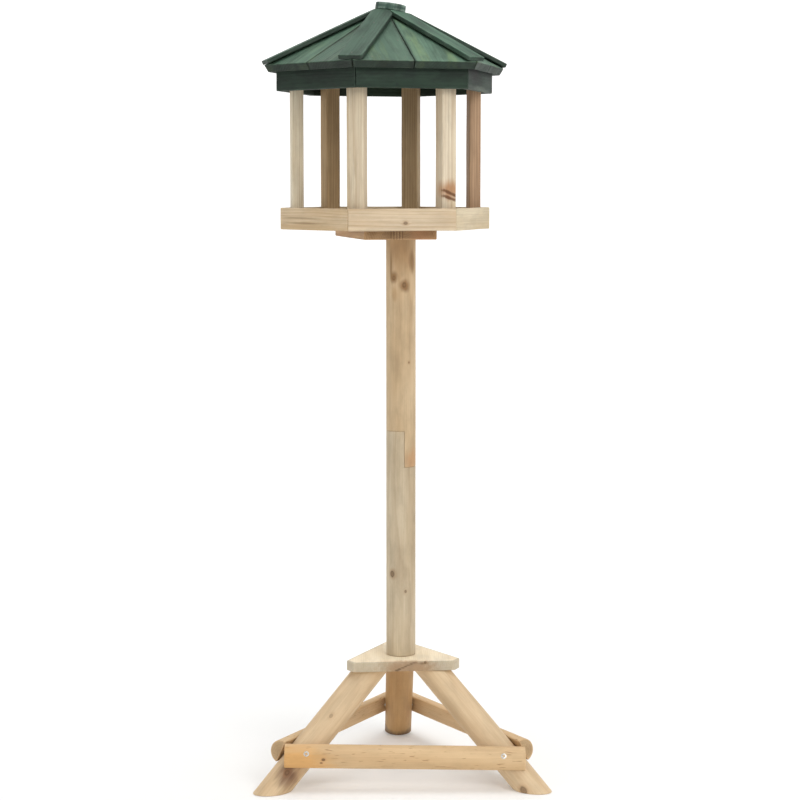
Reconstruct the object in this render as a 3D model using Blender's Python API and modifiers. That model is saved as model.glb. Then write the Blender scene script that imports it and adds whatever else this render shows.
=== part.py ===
"""Hexagonal bird feeder on a two-piece pole with a three-legged stand.

Units are metres and +Z is up. The front is towards -Y. The origin lies on the floor, under the
middle of the object's box; the pole stands a little in front of it.
"""

import math

import bmesh
import bpy
from mathutils import Matrix, Vector

# Clearances
GAP = 0.0003  # between pieces that touch
SEAM = 0.0012  # between the two boards of one roof facet
MITRE = 0.0005  # between the mitred ends of two neighbouring boards
FASCIA_PLAY = 0.0005  # between the posts and the fascia that slips over them

# Stand
PLATE_UNDERSIDE = 0.1725  # height of the plate's lower face
PLATE_THICKNESS = 0.015
PLATE_WIDTH = 0.177  # over the sawn-off corners
PLATE_CORNER = 0.019  # length of each sawn-off corner
PLATE_TURN = math.radians(4.0)  # of the plate on the legs
LEG_DIAMETER = 0.045
LEG_TOP_RADIUS = 0.052  # from the pole's axis to the leg's axis, at the plate
LEG_FOOT_RADIUS = 0.230  # the same, on the floor
BAR_RADIUS = 0.0186  # of the half-round crossbars
FRONT_BAR_HEIGHT = 0.0418  # where its middle crosses the plane of the leg axes
FRONT_BAR_OVERHANG = 0.0221  # past the leg's axis
FRONT_BAR_SHIFT = 0.0036  # of its middle, to the right
FRONT_BAR_TILT = math.radians(1.0)  # its left end is the higher one
SIDE_BAR_HEIGHT = 0.0475
SIDE_BAR_OVERHANG = 0.024  # past the front leg's axis
SIDE_BAR_REAR_OVERHANG = 0.017  # past the rear leg's axis
FRONT_SCREW_INSET = 0.0115  # of a screw from the leg's axis, towards the bar's middle
SIDE_SCREW_INSET = 0.006  # the same on a side bar, before its shift forward

# Pole
POLE_DIAMETER = 0.046
POLE_STICK = 0.3555  # length of each of the two sticks
LAP_LENGTH = 0.0565
LAP_TURN = math.radians(12.5)  # of the lap's flat, from the front-to-back plane

# Tray
TRAY_SHIFT = -0.0232  # of the tray's centre from the pole's axis, along X
TRAY_TURN = math.radians(9.0)
TRAY_RADIUS = 0.1643  # to the outer corners of the rim
RIM_HEIGHT = 0.033
RIM_THICKNESS = 0.009
FLOOR_THICKNESS = 0.012
FLOOR_LIFT = 0.0025  # of the floor above the rim's lower edge
PLANKS = 3
CLEAT_INSET = 0.0083  # of the cleat's ends from the rim
CLEAT_WIDTH = 0.110
CLEAT_THICKNESS = 0.0155
CLEAT_TURN = math.radians(1.5)  # from the tray
CLEAT_SHIFT = -0.0026  # of the cleat from the tray's centre, along the tray's X

# Posts
POST_WIDTH = 0.027
POST_DEPTH = 0.018
POST_LENGTH = 0.232
POST_EDGE = 0.0025  # radius of the long edges
# How far a post stands from its corner, anticlockwise
POST_OFFSETS = {"front_left": 0.0045, "front_right": 0.0025, "rear_right": 0.0065}

# Roof
ROOF_TURN = math.radians(14.2)
ROOF_PITCH = math.radians(28.3)
ROOF_BOARD = 0.0125
EAVE_OVERHANG = 0.0162  # past the fascia's outer face
FASCIA_HEIGHT = 0.0330
FASCIA_THICKNESS = 0.0092
BATTEN_WIDTH = 0.032
BATTEN_THICKNESS = 0.0065
BATTEN_SETBACK = 0.0029  # of a batten's end from the eave's corner
BLUNT_TIP = 0.003  # width left at the top of a roof board
CAP_DIAMETER = 0.0465
CAP_THICKNESS = 0.0105
CAP_SHIFT = 0.0068  # of the cap from the roof's axis

# Screws
SCREW_HEAD = 0.0085
SCREW_SHANK = 0.0042
SCREW_DRIVE = 0.0034  # mouth of the recess in the head
SCREW_DRIVE_DEPTH = 0.0016
BAR_SCREW = 0.036
LAP_SCREW = 0.038
AXIS_SCREW = 0.050
LAP_SCREW_SPREAD = 0.5  # share of the lap between its two screws
DRILL_CLEARANCE = 0.0003

# Finish of the edges
BOARD_EDGE = 0.0010
LOG_EDGE = 0.0015
LOG_SIDES = 40
SCREW_SIDES = 16

SIDES = 6
STEP = math.tau / SIDES
HALF = STEP / 2
COS_HALF = math.cos(HALF)
TAN_HALF = math.tan(HALF)

# What follows from the sizes above
PLATE_TOP = PLATE_UNDERSIDE + PLATE_THICKNESS
POLE_FOOT = PLATE_TOP + GAP
LAP_TOP = POLE_FOOT + POLE_STICK
LAP_BOTTOM = LAP_TOP - LAP_LENGTH
POLE_HEAD = LAP_BOTTOM + POLE_STICK
CLEAT_BOTTOM = POLE_HEAD + GAP
CLEAT_TOP = CLEAT_BOTTOM + CLEAT_THICKNESS
FLOOR_BOTTOM = CLEAT_TOP + GAP
FLOOR_TOP = FLOOR_BOTTOM + FLOOR_THICKNESS
RIM_BOTTOM = FLOOR_BOTTOM - FLOOR_LIFT
RIM_APOTHEM = TRAY_RADIUS * COS_HALF
RIM_INNER_APOTHEM = RIM_APOTHEM - RIM_THICKNESS
CLEAT_LENGTH = 2 * (RIM_INNER_APOTHEM - CLEAT_INSET)

POST_SUPPORT = (
    (POST_DEPTH / 2 - POST_EDGE) * COS_HALF
    + (POST_WIDTH / 2 - POST_EDGE) * math.sin(HALF)
    + POST_EDGE
)
POST_RADIUS = (RIM_INNER_APOTHEM - GAP - POST_SUPPORT) / COS_HALF
POST_FOOT = FLOOR_TOP + GAP
POST_HEAD = POST_FOOT + POST_LENGTH

LEG_RADIUS = LEG_DIAMETER / 2
LEG_SPLAY = (LEG_FOOT_RADIUS - LEG_TOP_RADIUS) / PLATE_UNDERSIDE
LEG_ANGLES = (math.radians(-150), math.radians(-30), math.radians(90))


def post_reach():
    """How far the posts' corners reach towards the roof's sides, measured square to a side."""
    reach = 0.0
    for offset in (0.0, *POST_OFFSETS.values()):
        along = POST_RADIUS - offset * TAN_HALF + POST_DEPTH / 2
        for across in (offset - POST_WIDTH / 2, offset + POST_WIDTH / 2):
            for side in (-HALF, HALF):
                turn = side + ROOF_TURN - TRAY_TURN
                reach = max(reach, along * math.cos(turn) + across * math.sin(turn))
    return reach


FASCIA_INNER = post_reach() + FASCIA_PLAY
FASCIA_APOTHEM = FASCIA_INNER + FASCIA_THICKNESS
EAVE_APOTHEM = FASCIA_APOTHEM + EAVE_OVERHANG
EAVE_RADIUS = EAVE_APOTHEM / COS_HALF
BOARD_DROP = ROOF_BOARD / math.cos(ROOF_PITCH)  # of a board's lower face below its upper one
APEX = POST_HEAD + GAP + post_reach() * math.tan(ROOF_PITCH) + BOARD_DROP
FASCIA_TOP = APEX - FASCIA_APOTHEM * math.tan(ROOF_PITCH) - BOARD_DROP - GAP
HIP_PITCH = math.atan(math.tan(ROOF_PITCH) * COS_HALF)
HIP_FOLD = math.acos(
    math.sin(ROOF_PITCH) * math.sin(HIP_PITCH) * COS_HALF
    + math.cos(ROOF_PITCH) * math.cos(HIP_PITCH)
)
HIP_INSET = ROOF_BOARD * math.tan(HIP_FOLD) + GAP  # keeps square-sawn boards apart under a hip
BATTEN_LIFT = GAP - HIP_INSET * math.sin(HIP_FOLD)
CAP_RADIUS = CAP_DIAMETER / 2


def batten_top(radius):
    """Height of a batten's upper face at this distance from the roof's axis."""
    rise = (BATTEN_THICKNESS + BATTEN_LIFT) / math.cos(HIP_PITCH)
    return APEX + rise - radius * math.tan(HIP_PITCH)


SEAT_LEFT = batten_top(CAP_RADIUS - CAP_SHIFT)
SEAT_RIGHT = batten_top(CAP_RADIUS + CAP_SHIFT)
CAP_TILT = math.asin((SEAT_LEFT - SEAT_RIGHT) / CAP_DIAMETER)
SEAT_MIDDLE = (SEAT_LEFT + SEAT_RIGHT) / 2


def foot_reach():
    """How far the rear foot reaches behind the pole's axis."""
    return LEG_FOOT_RADIUS + LEG_RADIUS * math.hypot(1, LEG_SPLAY)


def roof_reach():
    """How far the foremost hip batten reaches in front of the pole's axis."""
    end = EAVE_RADIUS - BATTEN_SETBACK + BATTEN_THICKNESS * math.sin(HIP_PITCH)
    hips = [ROOF_TURN + HALF + STEP * k for k in range(SIDES)]
    return max(end * math.cos(hip) + BATTEN_WIDTH / 2 * abs(math.sin(hip)) for hip in hips)


AXIS_Y = (roof_reach() - foot_reach()) / 2


# Scene and materials


def clear_scene():
    for obj in list(bpy.data.objects):
        bpy.data.objects.remove(obj, do_unlink=True)


def new_collection(name):
    collection = bpy.data.collections.new(name)
    bpy.context.scene.collection.children.link(collection)
    return collection


def finish(obj, colour, roughness, metallic=0.0):
    """Gives an object its own Principled material."""
    material = bpy.data.materials.new(obj.name)
    material.use_nodes = True
    shader = material.node_tree.nodes["Principled BSDF"]
    shader.inputs["Base Color"].default_value = (*colour, 1.0)
    shader.inputs["Roughness"].default_value = roughness
    shader.inputs["Metallic"].default_value = metallic
    obj.data.materials.clear()
    obj.data.materials.append(material)


def pale_pine(obj):
    finish(obj, (0.72, 0.56, 0.38), 0.65)


def shaded_pine(obj):
    finish(obj, (0.52, 0.37, 0.22), 0.70)


def green_stain(obj):
    finish(obj, (0.14, 0.24, 0.19), 0.60)


def green_roof_stain(obj):
    finish(obj, (0.16, 0.29, 0.22), 0.55)


def zinc(obj):
    finish(obj, (0.80, 0.79, 0.76), 0.30, 1.0)


# Making pieces


def add_empty(name, place):
    empty = bpy.data.objects.new(name, None)
    PARTS.objects.link(empty)
    empty.matrix_world = place
    return empty


def add_piece(name, mesh, parent, place):
    """Puts a mesh into the object's collection, at a place in its parent's frame."""
    obj = bpy.data.objects.new(name, mesh)
    PARTS.objects.link(obj)
    obj.parent = parent
    obj.matrix_local = place
    return obj


def add_cutter(name, mesh, parent, place):
    obj = bpy.data.objects.new(name, mesh)
    CUTTERS.objects.link(obj)
    obj.parent = parent
    obj.matrix_local = place
    obj.hide_render = True
    obj.display_type = "WIRE"
    return obj


def mesh_from(name, shape):
    mesh = bpy.data.meshes.new(name)
    bmesh.ops.recalc_face_normals(shape, faces=shape.faces)
    shape.to_mesh(mesh)
    shape.free()
    return mesh


def box_mesh(name, size):
    shape = bmesh.new()
    bmesh.ops.create_cube(shape, size=1.0)
    bmesh.ops.scale(shape, vec=size, verts=shape.verts)
    return mesh_from(name, shape)


def cylinder_mesh(name, radius, length, sides):
    shape = bmesh.new()
    bmesh.ops.create_cone(
        shape, cap_ends=True, segments=sides, radius1=radius, radius2=radius, depth=length
    )
    return mesh_from(name, shape)


def outline_mesh(name, points, thickness):
    """A flat outline in XY with its thickness centred on Z = 0."""
    curve = bpy.data.curves.new(name, "CURVE")
    curve.dimensions = "2D"
    curve.fill_mode = "BOTH"
    curve.extrude = thickness / 2
    spline = curve.splines.new("POLY")
    spline.points.add(len(points) - 1)
    for place, (x, y) in zip(spline.points, points):
        place.co = (x, y, 0, 1)
    spline.use_cyclic_u = True
    guide = bpy.data.objects.new(name, curve)
    CUTTERS.objects.link(guide)
    evaluated = guide.evaluated_get(bpy.context.evaluated_depsgraph_get())
    mesh = bpy.data.meshes.new_from_object(evaluated)
    bpy.data.objects.remove(guide, do_unlink=True)
    shape = bmesh.new()
    shape.from_mesh(mesh)
    bmesh.ops.remove_doubles(shape, verts=shape.verts, dist=0.00001)
    bmesh.ops.recalc_face_normals(shape, faces=shape.faces)
    shape.to_mesh(mesh)
    shape.free()
    return mesh


def turned_mesh(name, profile, sides):
    """A profile of (radius, height) points, from the top down the outside, turned about Z."""
    shape = bmesh.new()
    corners = [shape.verts.new((radius, 0, height)) for radius, height in profile]
    edges = [shape.edges.new(pair) for pair in zip(corners, corners[1:])]
    bmesh.ops.spin(
        shape, geom=corners + edges, axis=(0, 0, 1), cent=(0, 0, 0), angle=math.tau, steps=sides
    )
    bmesh.ops.remove_doubles(shape, verts=shape.verts, dist=0.00001)
    return mesh_from(name, shape)


def soften(obj, width, segments=2):
    """Rounds the sharp edges of a piece."""
    edge = obj.modifiers.new("edges", "BEVEL")
    edge.width = width
    edge.segments = segments
    edge.limit_method = "ANGLE"
    edge.angle_limit = math.radians(25)


def cut(obj, cutter):
    boolean = obj.modifiers.new(cutter.name, "BOOLEAN")
    boolean.operation = "DIFFERENCE"
    boolean.object = cutter


def smooth(obj, angle=35):
    obj.data.shade_smooth()
    obj.data.set_sharp_from_angle(angle=math.radians(angle))


def turned(angle, place=(0, 0, 0)):
    """A turn about Z followed, in the turned frame, by a move."""
    return Matrix.Rotation(angle, 4, "Z") @ Matrix.Translation(place)


def frame_of(x_axis, y_axis, z_axis, place):
    """A place whose axes are the three given directions."""
    columns = Matrix((x_axis, y_axis, z_axis)).transposed().to_4x4()
    return Matrix.Translation(place) @ columns


# Screws


def screw_profile(length, grow=0.0):
    """A countersunk screw from its head at Z = 0 down; grow makes the hole for it."""
    head = SCREW_HEAD / 2 + grow
    shank = SCREW_SHANK / 2 + grow
    neck = head - shank
    tip = -length - grow
    outer = [(head, grow), (shank, grow - neck), (shank, tip + shank), (0, tip)]
    if grow:
        mouth = SCREW_HEAD
        return [(0, mouth), (head, mouth)] + outer
    drive = SCREW_DRIVE / 2
    return [(0, -SCREW_DRIVE_DEPTH), (drive / 2, -SCREW_DRIVE_DEPTH), (drive, 0)] + outer


def add_screw(name, length, parent, place, pieces):
    """A screw with its head at a place, pointing along its -Z, and its hole through the pieces."""
    screw = add_piece(name, turned_mesh(name, screw_profile(length), SCREW_SIDES), parent, place)
    zinc(screw)
    smooth(screw)
    hole_name = name + "_hole"
    profile = screw_profile(length, DRILL_CLEARANCE)
    hole = add_cutter(hole_name, turned_mesh(hole_name, profile, SCREW_SIDES), parent, place)
    for piece in pieces:
        cut(piece, hole)


# Stand


def leg_axis_radius(height):
    """How far a leg's axis is from the pole's axis at this height."""
    return LEG_FOOT_RADIUS - LEG_SPLAY * height


def add_leg(name, angle):
    """A round log, sawn level under the plate and on the floor."""
    outward = Vector((math.cos(angle), math.sin(angle), 0))
    top = outward * LEG_TOP_RADIUS + Vector((0, 0, PLATE_UNDERSIDE))
    foot = outward * LEG_FOOT_RADIUS
    along = top - foot
    shape = bmesh.new()
    bmesh.ops.create_cone(
        shape,
        cap_ends=True,
        segments=LOG_SIDES,
        radius1=LEG_RADIUS,
        radius2=LEG_RADIUS,
        depth=along.length + 4 * LEG_DIAMETER,
    )
    turn = along.to_track_quat("Z", "Y").to_matrix().to_4x4()
    place = Matrix.Translation((top + foot) / 2) @ turn
    bmesh.ops.transform(shape, matrix=place, verts=shape.verts)
    for height, facing in ((PLATE_UNDERSIDE - GAP, 1), (0.0, -1)):
        sawn = bmesh.ops.bisect_plane(
            shape,
            geom=shape.verts[:] + shape.edges[:] + shape.faces[:],
            plane_co=(0, 0, height),
            plane_no=(0, 0, facing),
            clear_outer=True,
        )
        rim = [item for item in sawn["geom_cut"] if isinstance(item, bmesh.types.BMEdge)]
        bmesh.ops.holes_fill(shape, edges=rim)
    leg = add_piece(name, mesh_from(name, shape), BASE, Matrix.Identity(4))
    soften(leg, LOG_EDGE, 1)
    pale_pine(leg)
    smooth(leg)
    return leg


def half_round(radius, sides):
    """The outline of a half-round log with its flat along X."""
    turn = math.pi / sides
    return [(radius * math.cos(turn * k), radius * math.sin(turn * k)) for k in range(sides + 1)]


def add_crossbar(name, first, second, size, legs, shift=0.0, tilt=0.0):
    """A half-round log across two legs, flat side to them, with a screw into each leg."""
    height, overhang, screw_inset = size
    middle = (LEG_ANGLES[first] + LEG_ANGLES[second]) / 2
    if abs(LEG_ANGLES[second] - LEG_ANGLES[first]) > math.pi:
        middle += math.pi
    away = Vector((math.cos(middle), math.sin(middle), 0))
    along = Vector((-away.y, away.x, 0))
    lean = math.atan(LEG_SPLAY * math.cos(math.radians(60)))
    out = away * math.cos(lean) + Vector((0, 0, math.sin(lean)))
    reach = leg_axis_radius(height)
    half_span = reach * math.sin(math.radians(60))
    on_axes = away * reach * math.cos(math.radians(60)) + Vector((0, 0, height))
    flat = on_axes + out * (LEG_RADIUS + GAP) + along * shift
    along = Matrix.Rotation(-tilt, 3, out) @ along
    up = out.cross(along)
    length = 2 * (half_span + overhang)
    mesh = outline_mesh(name, half_round(BAR_RADIUS, LOG_SIDES // 2), length)
    bar = add_piece(name, mesh, BASE, frame_of(-up, out, along, flat))
    soften(bar, BOARD_EDGE, 1)
    pale_pine(bar)
    smooth(bar)
    crest = flat + out * BAR_RADIUS
    screw_span = half_span - screw_inset
    for leg_number, side in ((first, -1), (second, 1)):
        place = frame_of(along, out.cross(along), out, crest + along * side * screw_span)
        screw_name = f"{name}_screw_{'left' if side < 0 else 'right'}"
        add_screw(screw_name, BAR_SCREW, BASE, place, [bar, legs[leg_number]])


def add_tripod_plate():
    """A triangular board with its corners sawn off, one side to the front."""
    side = PLATE_WIDTH + PLATE_CORNER
    centre_to_corner = side / math.sqrt(3)
    points = []
    for angle in LEG_ANGLES:
        corner = Vector((math.cos(angle), math.sin(angle))) * centre_to_corner
        for neighbour in (-1, 1):
            back = angle + math.pi + neighbour * math.radians(30)
            edge = corner + Vector((math.cos(back), math.sin(back))) * PLATE_CORNER
            points.append(tuple(edge))
    points = sorted(points, key=lambda p: math.atan2(p[1], p[0]))
    mesh = outline_mesh("tripod_plate", points, PLATE_THICKNESS)
    middle = PLATE_UNDERSIDE + PLATE_THICKNESS / 2
    plate = add_piece("tripod_plate", mesh, BASE, turned(PLATE_TURN, (0, 0, middle)))
    soften(plate, BOARD_EDGE)
    pale_pine(plate)
    return plate


# Pole


def add_pole(name, foot, side):
    """One stick of the pole; its tongue keeps the half on the given side of the lap's flat."""
    mesh = cylinder_mesh(name, POLE_DIAMETER / 2, POLE_STICK, LOG_SIDES)
    pole = add_piece(name, mesh, BASE, Matrix.Translation((0, 0, foot + POLE_STICK / 2)))
    soften(pole, LOG_EDGE, 1)
    pale_pine(pole)
    smooth(pole)
    width = POLE_DIAMETER
    size = (width, 2 * width, LAP_LENGTH + width + GAP)
    height = LAP_BOTTOM - GAP if side < 0 else LAP_TOP + GAP
    middle = height - side * size[2] / 2
    place = turned(LAP_TURN, (-side * (width - GAP) / 2, 0, middle))
    cut(pole, add_cutter(name + "_lap", box_mesh(name + "_lap", size), BASE, place))
    return pole


def add_lap_screws(poles):
    """Two screws square to the lap's flat, from the right-hand side."""
    across = Vector((math.cos(LAP_TURN), math.sin(LAP_TURN), 0))
    along = Vector((0, 0, 1))
    middle = (LAP_TOP + LAP_BOTTOM) / 2
    spread = LAP_LENGTH * LAP_SCREW_SPREAD / 2
    for name, offset in (("lap_screw_upper", spread), ("lap_screw_lower", -spread)):
        centre = across * (POLE_DIAMETER / 2 - GAP) + Vector((0, 0, middle + offset))
        place = frame_of(along, across.cross(along), across, centre)
        add_screw(name, LAP_SCREW, BASE, place, poles)


# Tray


def mitred_outline(apothem, thickness):
    """A board of a hexagonal ring seen from above, its middle to the front."""
    outer = apothem * TAN_HALF - MITRE / 2 / COS_HALF
    inner = outer - thickness * TAN_HALF
    back = -(apothem - thickness)
    return [(-outer, -apothem), (outer, -apothem), (inner, back), (-inner, back)]


def add_ring(name, frame, apothem, thickness, bottom, height, paint):
    """Six mitred boards on edge; number 1 is at the front and they run anticlockwise."""
    for k in range(SIDES):
        board_name = f"{name}_{k + 1}"
        mesh = outline_mesh(board_name, mitred_outline(apothem, thickness), height)
        board = add_piece(board_name, mesh, frame, turned(STEP * k, (0, 0, bottom + height / 2)))
        soften(board, BOARD_EDGE)
        paint(board)


def plank_outline(near, far, radius):
    """The part of a hexagon with corners on X that lies between two values of Y."""
    levels = [near, far]
    if near < 0 < far:
        levels.insert(1, 0.0)
    right = [(radius - abs(y) * TAN_HALF, y) for y in levels]
    left = [(-x, y) for x, y in reversed(right)]
    return right + left


def add_floor():
    apothem = RIM_INNER_APOTHEM - GAP
    radius = apothem / COS_HALF
    width = 2 * apothem / PLANKS
    planks = []
    for k in range(PLANKS):
        near = -apothem + width * k
        points = plank_outline(near + GAP / 2, near + width - GAP / 2, radius)
        name = f"floor_plank_{k + 1}"
        middle = FLOOR_BOTTOM + FLOOR_THICKNESS / 2
        mesh = outline_mesh(name, points, FLOOR_THICKNESS)
        plank = add_piece(name, mesh, TRAY, Matrix.Translation((0, 0, middle)))
        soften(plank, BOARD_EDGE, 1)
        pale_pine(plank)
        planks.append(plank)
    return planks


def add_cleat():
    mesh = box_mesh("support_cleat", (CLEAT_WIDTH, CLEAT_LENGTH, CLEAT_THICKNESS))
    middle = CLEAT_BOTTOM + CLEAT_THICKNESS / 2
    place = Matrix.Translation((CLEAT_SHIFT, 0, middle)) @ turned(CLEAT_TURN)
    cleat = add_piece("support_cleat", mesh, TRAY, place)
    soften(cleat, BOARD_EDGE)
    shaded_pine(cleat)
    return cleat


def add_posts():
    """Six posts inside the rim's corners, their wide faces towards the tray's centre."""
    names = ("front_right", "right", "rear_right", "rear_left", "left", "front_left")
    middle = POST_FOOT + POST_LENGTH / 2
    for k, where in enumerate(names):
        name = "post_" + where
        offset = POST_OFFSETS.get(where, 0.0)
        mesh = box_mesh(name, (POST_DEPTH, POST_WIDTH, POST_LENGTH))
        angle = STEP * k - math.pi / 2 + HALF
        radius = POST_RADIUS - offset * TAN_HALF
        post = add_piece(name, mesh, TRAY, turned(angle, (radius, offset, middle)))
        soften(post, POST_EDGE)
        pale_pine(post)


# Roof


def roof_board_outline(side):
    """Half a facet, in its own plane: X along the eave, Y up the slope from the eave."""
    slope = EAVE_APOTHEM / math.cos(ROOF_PITCH)
    half_eave = EAVE_APOTHEM * TAN_HALF
    lean = math.atan2(half_eave, slope)
    shift = HIP_INSET / math.cos(lean)
    seam = SEAM / 2
    top = (half_eave - shift - seam - BLUNT_TIP) / math.tan(lean)
    corners = [(seam, 0), (half_eave - shift, 0), (seam + BLUNT_TIP, top), (seam, top)]
    if side > 0:
        return corners
    return [(-x, y) for x, y in reversed(corners)]


def add_roof_boards():
    """Two boards to a facet, their upper faces on the facet's plane."""
    slope = Matrix.Rotation(ROOF_PITCH, 4, "X")
    eave = APEX - EAVE_APOTHEM * math.tan(ROOF_PITCH)
    sink = Matrix.Translation((0, 0, -ROOF_BOARD / 2))
    for k in range(SIDES):
        for side, letter in ((-1, "a"), (1, "b")):
            name = f"roof_board_{k + 1}{letter}"
            mesh = outline_mesh(name, roof_board_outline(side), ROOF_BOARD)
            place = turned(STEP * k, (0, -EAVE_APOTHEM, eave)) @ slope @ sink
            board = add_piece(name, mesh, ROOF, place)
            soften(board, BOARD_EDGE, 1)
            green_roof_stain(board)


def batten_outline():
    """A strip with its top sawn to a point; Y runs up the hip and is 0 at the apex."""
    half = BATTEN_WIDTH / 2
    point = math.cos(HIP_PITCH) * TAN_HALF
    trim = MITRE / 2 / COS_HALF
    shoulder = -(half + trim) / point
    end = -(EAVE_RADIUS - BATTEN_SETBACK) / math.cos(HIP_PITCH)
    return [(-half, end), (half, end), (half, shoulder), (0, -trim / point), (-half, shoulder)]


def add_battens():
    """A strip over each hip, sawn off on top where the cap sits."""
    size = (2 * CAP_DIAMETER, 2 * CAP_DIAMETER, 2 * CAP_THICKNESS)
    rise = CAP_THICKNESS - GAP
    seat = cap_place() @ Matrix.Translation((0, 0, rise))
    saw = add_cutter("cap_seat", box_mesh("cap_seat", size), ROOF, seat)
    slope = Matrix.Rotation(HIP_PITCH, 4, "X")
    lift = Matrix.Translation((0, 0, BATTEN_LIFT + BATTEN_THICKNESS / 2))
    for k in range(SIDES):
        name = f"hip_batten_{k + 1}"
        mesh = outline_mesh(name, batten_outline(), BATTEN_THICKNESS)
        batten = add_piece(name, mesh, ROOF, turned(STEP * k + HALF, (0, 0, APEX)) @ slope @ lift)
        soften(batten, BOARD_EDGE, 1)
        cut(batten, saw)
        green_roof_stain(batten)


def cap_place():
    """The middle of the cap's lower face, turned with its tilt, in the roof's frame."""
    untwist = Matrix.Rotation(-ROOF_TURN, 4, "Z")
    tilt = Matrix.Rotation(CAP_TILT, 4, "Y")
    return untwist @ Matrix.Translation((CAP_SHIFT, 0, SEAT_MIDDLE)) @ tilt


def add_cap():
    """A slice of round stock that closes the top."""
    mesh = cylinder_mesh("roof_cap", CAP_RADIUS, CAP_THICKNESS, LOG_SIDES)
    place = cap_place() @ Matrix.Translation((0, 0, CAP_THICKNESS / 2))
    cap = add_piece("roof_cap", mesh, ROOF, place)
    soften(cap, BOARD_EDGE, 1)
    green_stain(cap)
    smooth(cap)


# The object


def build():
    legs = [
        add_leg(name, angle)
        for name, angle in zip(("leg_front_left", "leg_front_right", "leg_rear"), LEG_ANGLES)
    ]
    front = (FRONT_BAR_HEIGHT, FRONT_BAR_OVERHANG, FRONT_SCREW_INSET)
    overhang = (SIDE_BAR_OVERHANG + SIDE_BAR_REAR_OVERHANG) / 2
    side = (SIDE_BAR_HEIGHT, overhang, SIDE_SCREW_INSET)
    forward = (SIDE_BAR_OVERHANG - SIDE_BAR_REAR_OVERHANG) / 2
    add_crossbar("crossbar_front", 0, 1, front, legs, FRONT_BAR_SHIFT, FRONT_BAR_TILT)
    add_crossbar("crossbar_right", 1, 2, side, legs, -forward)
    add_crossbar("crossbar_left", 2, 0, side, legs, forward)
    plate = add_tripod_plate()

    lower = add_pole("lower_pole", POLE_FOOT, -1)
    upper = add_pole("upper_pole", LAP_BOTTOM, 1)
    add_lap_screws([lower, upper])
    upside_down = Matrix.Translation((0, 0, PLATE_UNDERSIDE)) @ Matrix.Rotation(math.pi, 4, "X")
    add_screw("pole_foot_screw", AXIS_SCREW, BASE, upside_down, [plate, lower])

    rim = (TRAY, RIM_APOTHEM, RIM_THICKNESS, RIM_BOTTOM, RIM_HEIGHT)
    add_ring("tray_rim", *rim, pale_pine)
    planks = add_floor()
    cleat = add_cleat()
    on_floor = Matrix.Translation((0, 0, FLOOR_TOP))
    add_screw("pole_head_screw", AXIS_SCREW, BASE, on_floor, planks + [cleat, upper])
    add_posts()

    fascia_bottom = FASCIA_TOP - FASCIA_HEIGHT
    fascia = (ROOF, FASCIA_APOTHEM, FASCIA_THICKNESS, fascia_bottom, FASCIA_HEIGHT)
    add_ring("fascia_board", *fascia, green_stain)
    add_roof_boards()
    add_battens()
    add_cap()


clear_scene()
PARTS = new_collection("bird_feeder_on_pole")
CUTTERS = new_collection("cutters")
ON_AXIS = Matrix.Translation((0, AXIS_Y, 0))
OVER_TRAY = Matrix.Translation((TRAY_SHIFT, AXIS_Y, 0))
BASE = add_empty("base_frame", ON_AXIS)
TRAY = add_empty("tray_frame", OVER_TRAY @ Matrix.Rotation(TRAY_TURN, 4, "Z"))
ROOF = add_empty("roof_frame", OVER_TRAY @ Matrix.Rotation(ROOF_TURN, 4, "Z"))
bpy.context.view_layer.update()
build()
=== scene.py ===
import math

import bpy
import numpy as np
from bpy.props import FloatProperty, FloatVectorProperty, PointerProperty
from bpy.types import Operator, Panel, PropertyGroup
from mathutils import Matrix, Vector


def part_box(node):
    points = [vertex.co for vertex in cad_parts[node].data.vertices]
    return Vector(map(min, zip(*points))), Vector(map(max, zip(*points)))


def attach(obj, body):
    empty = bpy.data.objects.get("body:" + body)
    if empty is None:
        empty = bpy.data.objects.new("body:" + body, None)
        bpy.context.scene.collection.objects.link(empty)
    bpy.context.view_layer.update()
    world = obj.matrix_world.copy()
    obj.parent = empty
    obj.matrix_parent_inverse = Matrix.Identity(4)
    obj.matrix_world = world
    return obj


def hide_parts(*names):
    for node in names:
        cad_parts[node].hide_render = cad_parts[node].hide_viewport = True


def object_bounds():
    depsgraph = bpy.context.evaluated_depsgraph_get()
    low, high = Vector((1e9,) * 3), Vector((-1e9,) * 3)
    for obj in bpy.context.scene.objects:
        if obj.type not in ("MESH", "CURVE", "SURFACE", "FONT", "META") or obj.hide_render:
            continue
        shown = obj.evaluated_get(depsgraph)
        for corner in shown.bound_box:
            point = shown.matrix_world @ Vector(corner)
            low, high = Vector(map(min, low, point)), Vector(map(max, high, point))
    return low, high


bl_info = {
    "name": "Bird feeder on pole",
    "version": (1, 0, 0),
    "blender": (4, 5, 0),
    "location": "View3D > Sidebar > Bird feeder",
    "description": "Makes the finished timber, stain and screws of a hexagonal bird feeder on its stand",
    "category": "Object",
}

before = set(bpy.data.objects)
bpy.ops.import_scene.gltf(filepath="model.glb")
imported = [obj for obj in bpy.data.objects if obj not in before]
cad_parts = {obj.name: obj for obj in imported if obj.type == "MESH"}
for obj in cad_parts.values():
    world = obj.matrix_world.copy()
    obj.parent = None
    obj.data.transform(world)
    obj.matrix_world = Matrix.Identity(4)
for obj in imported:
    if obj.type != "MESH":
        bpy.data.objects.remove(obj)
cad_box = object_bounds()

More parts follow.
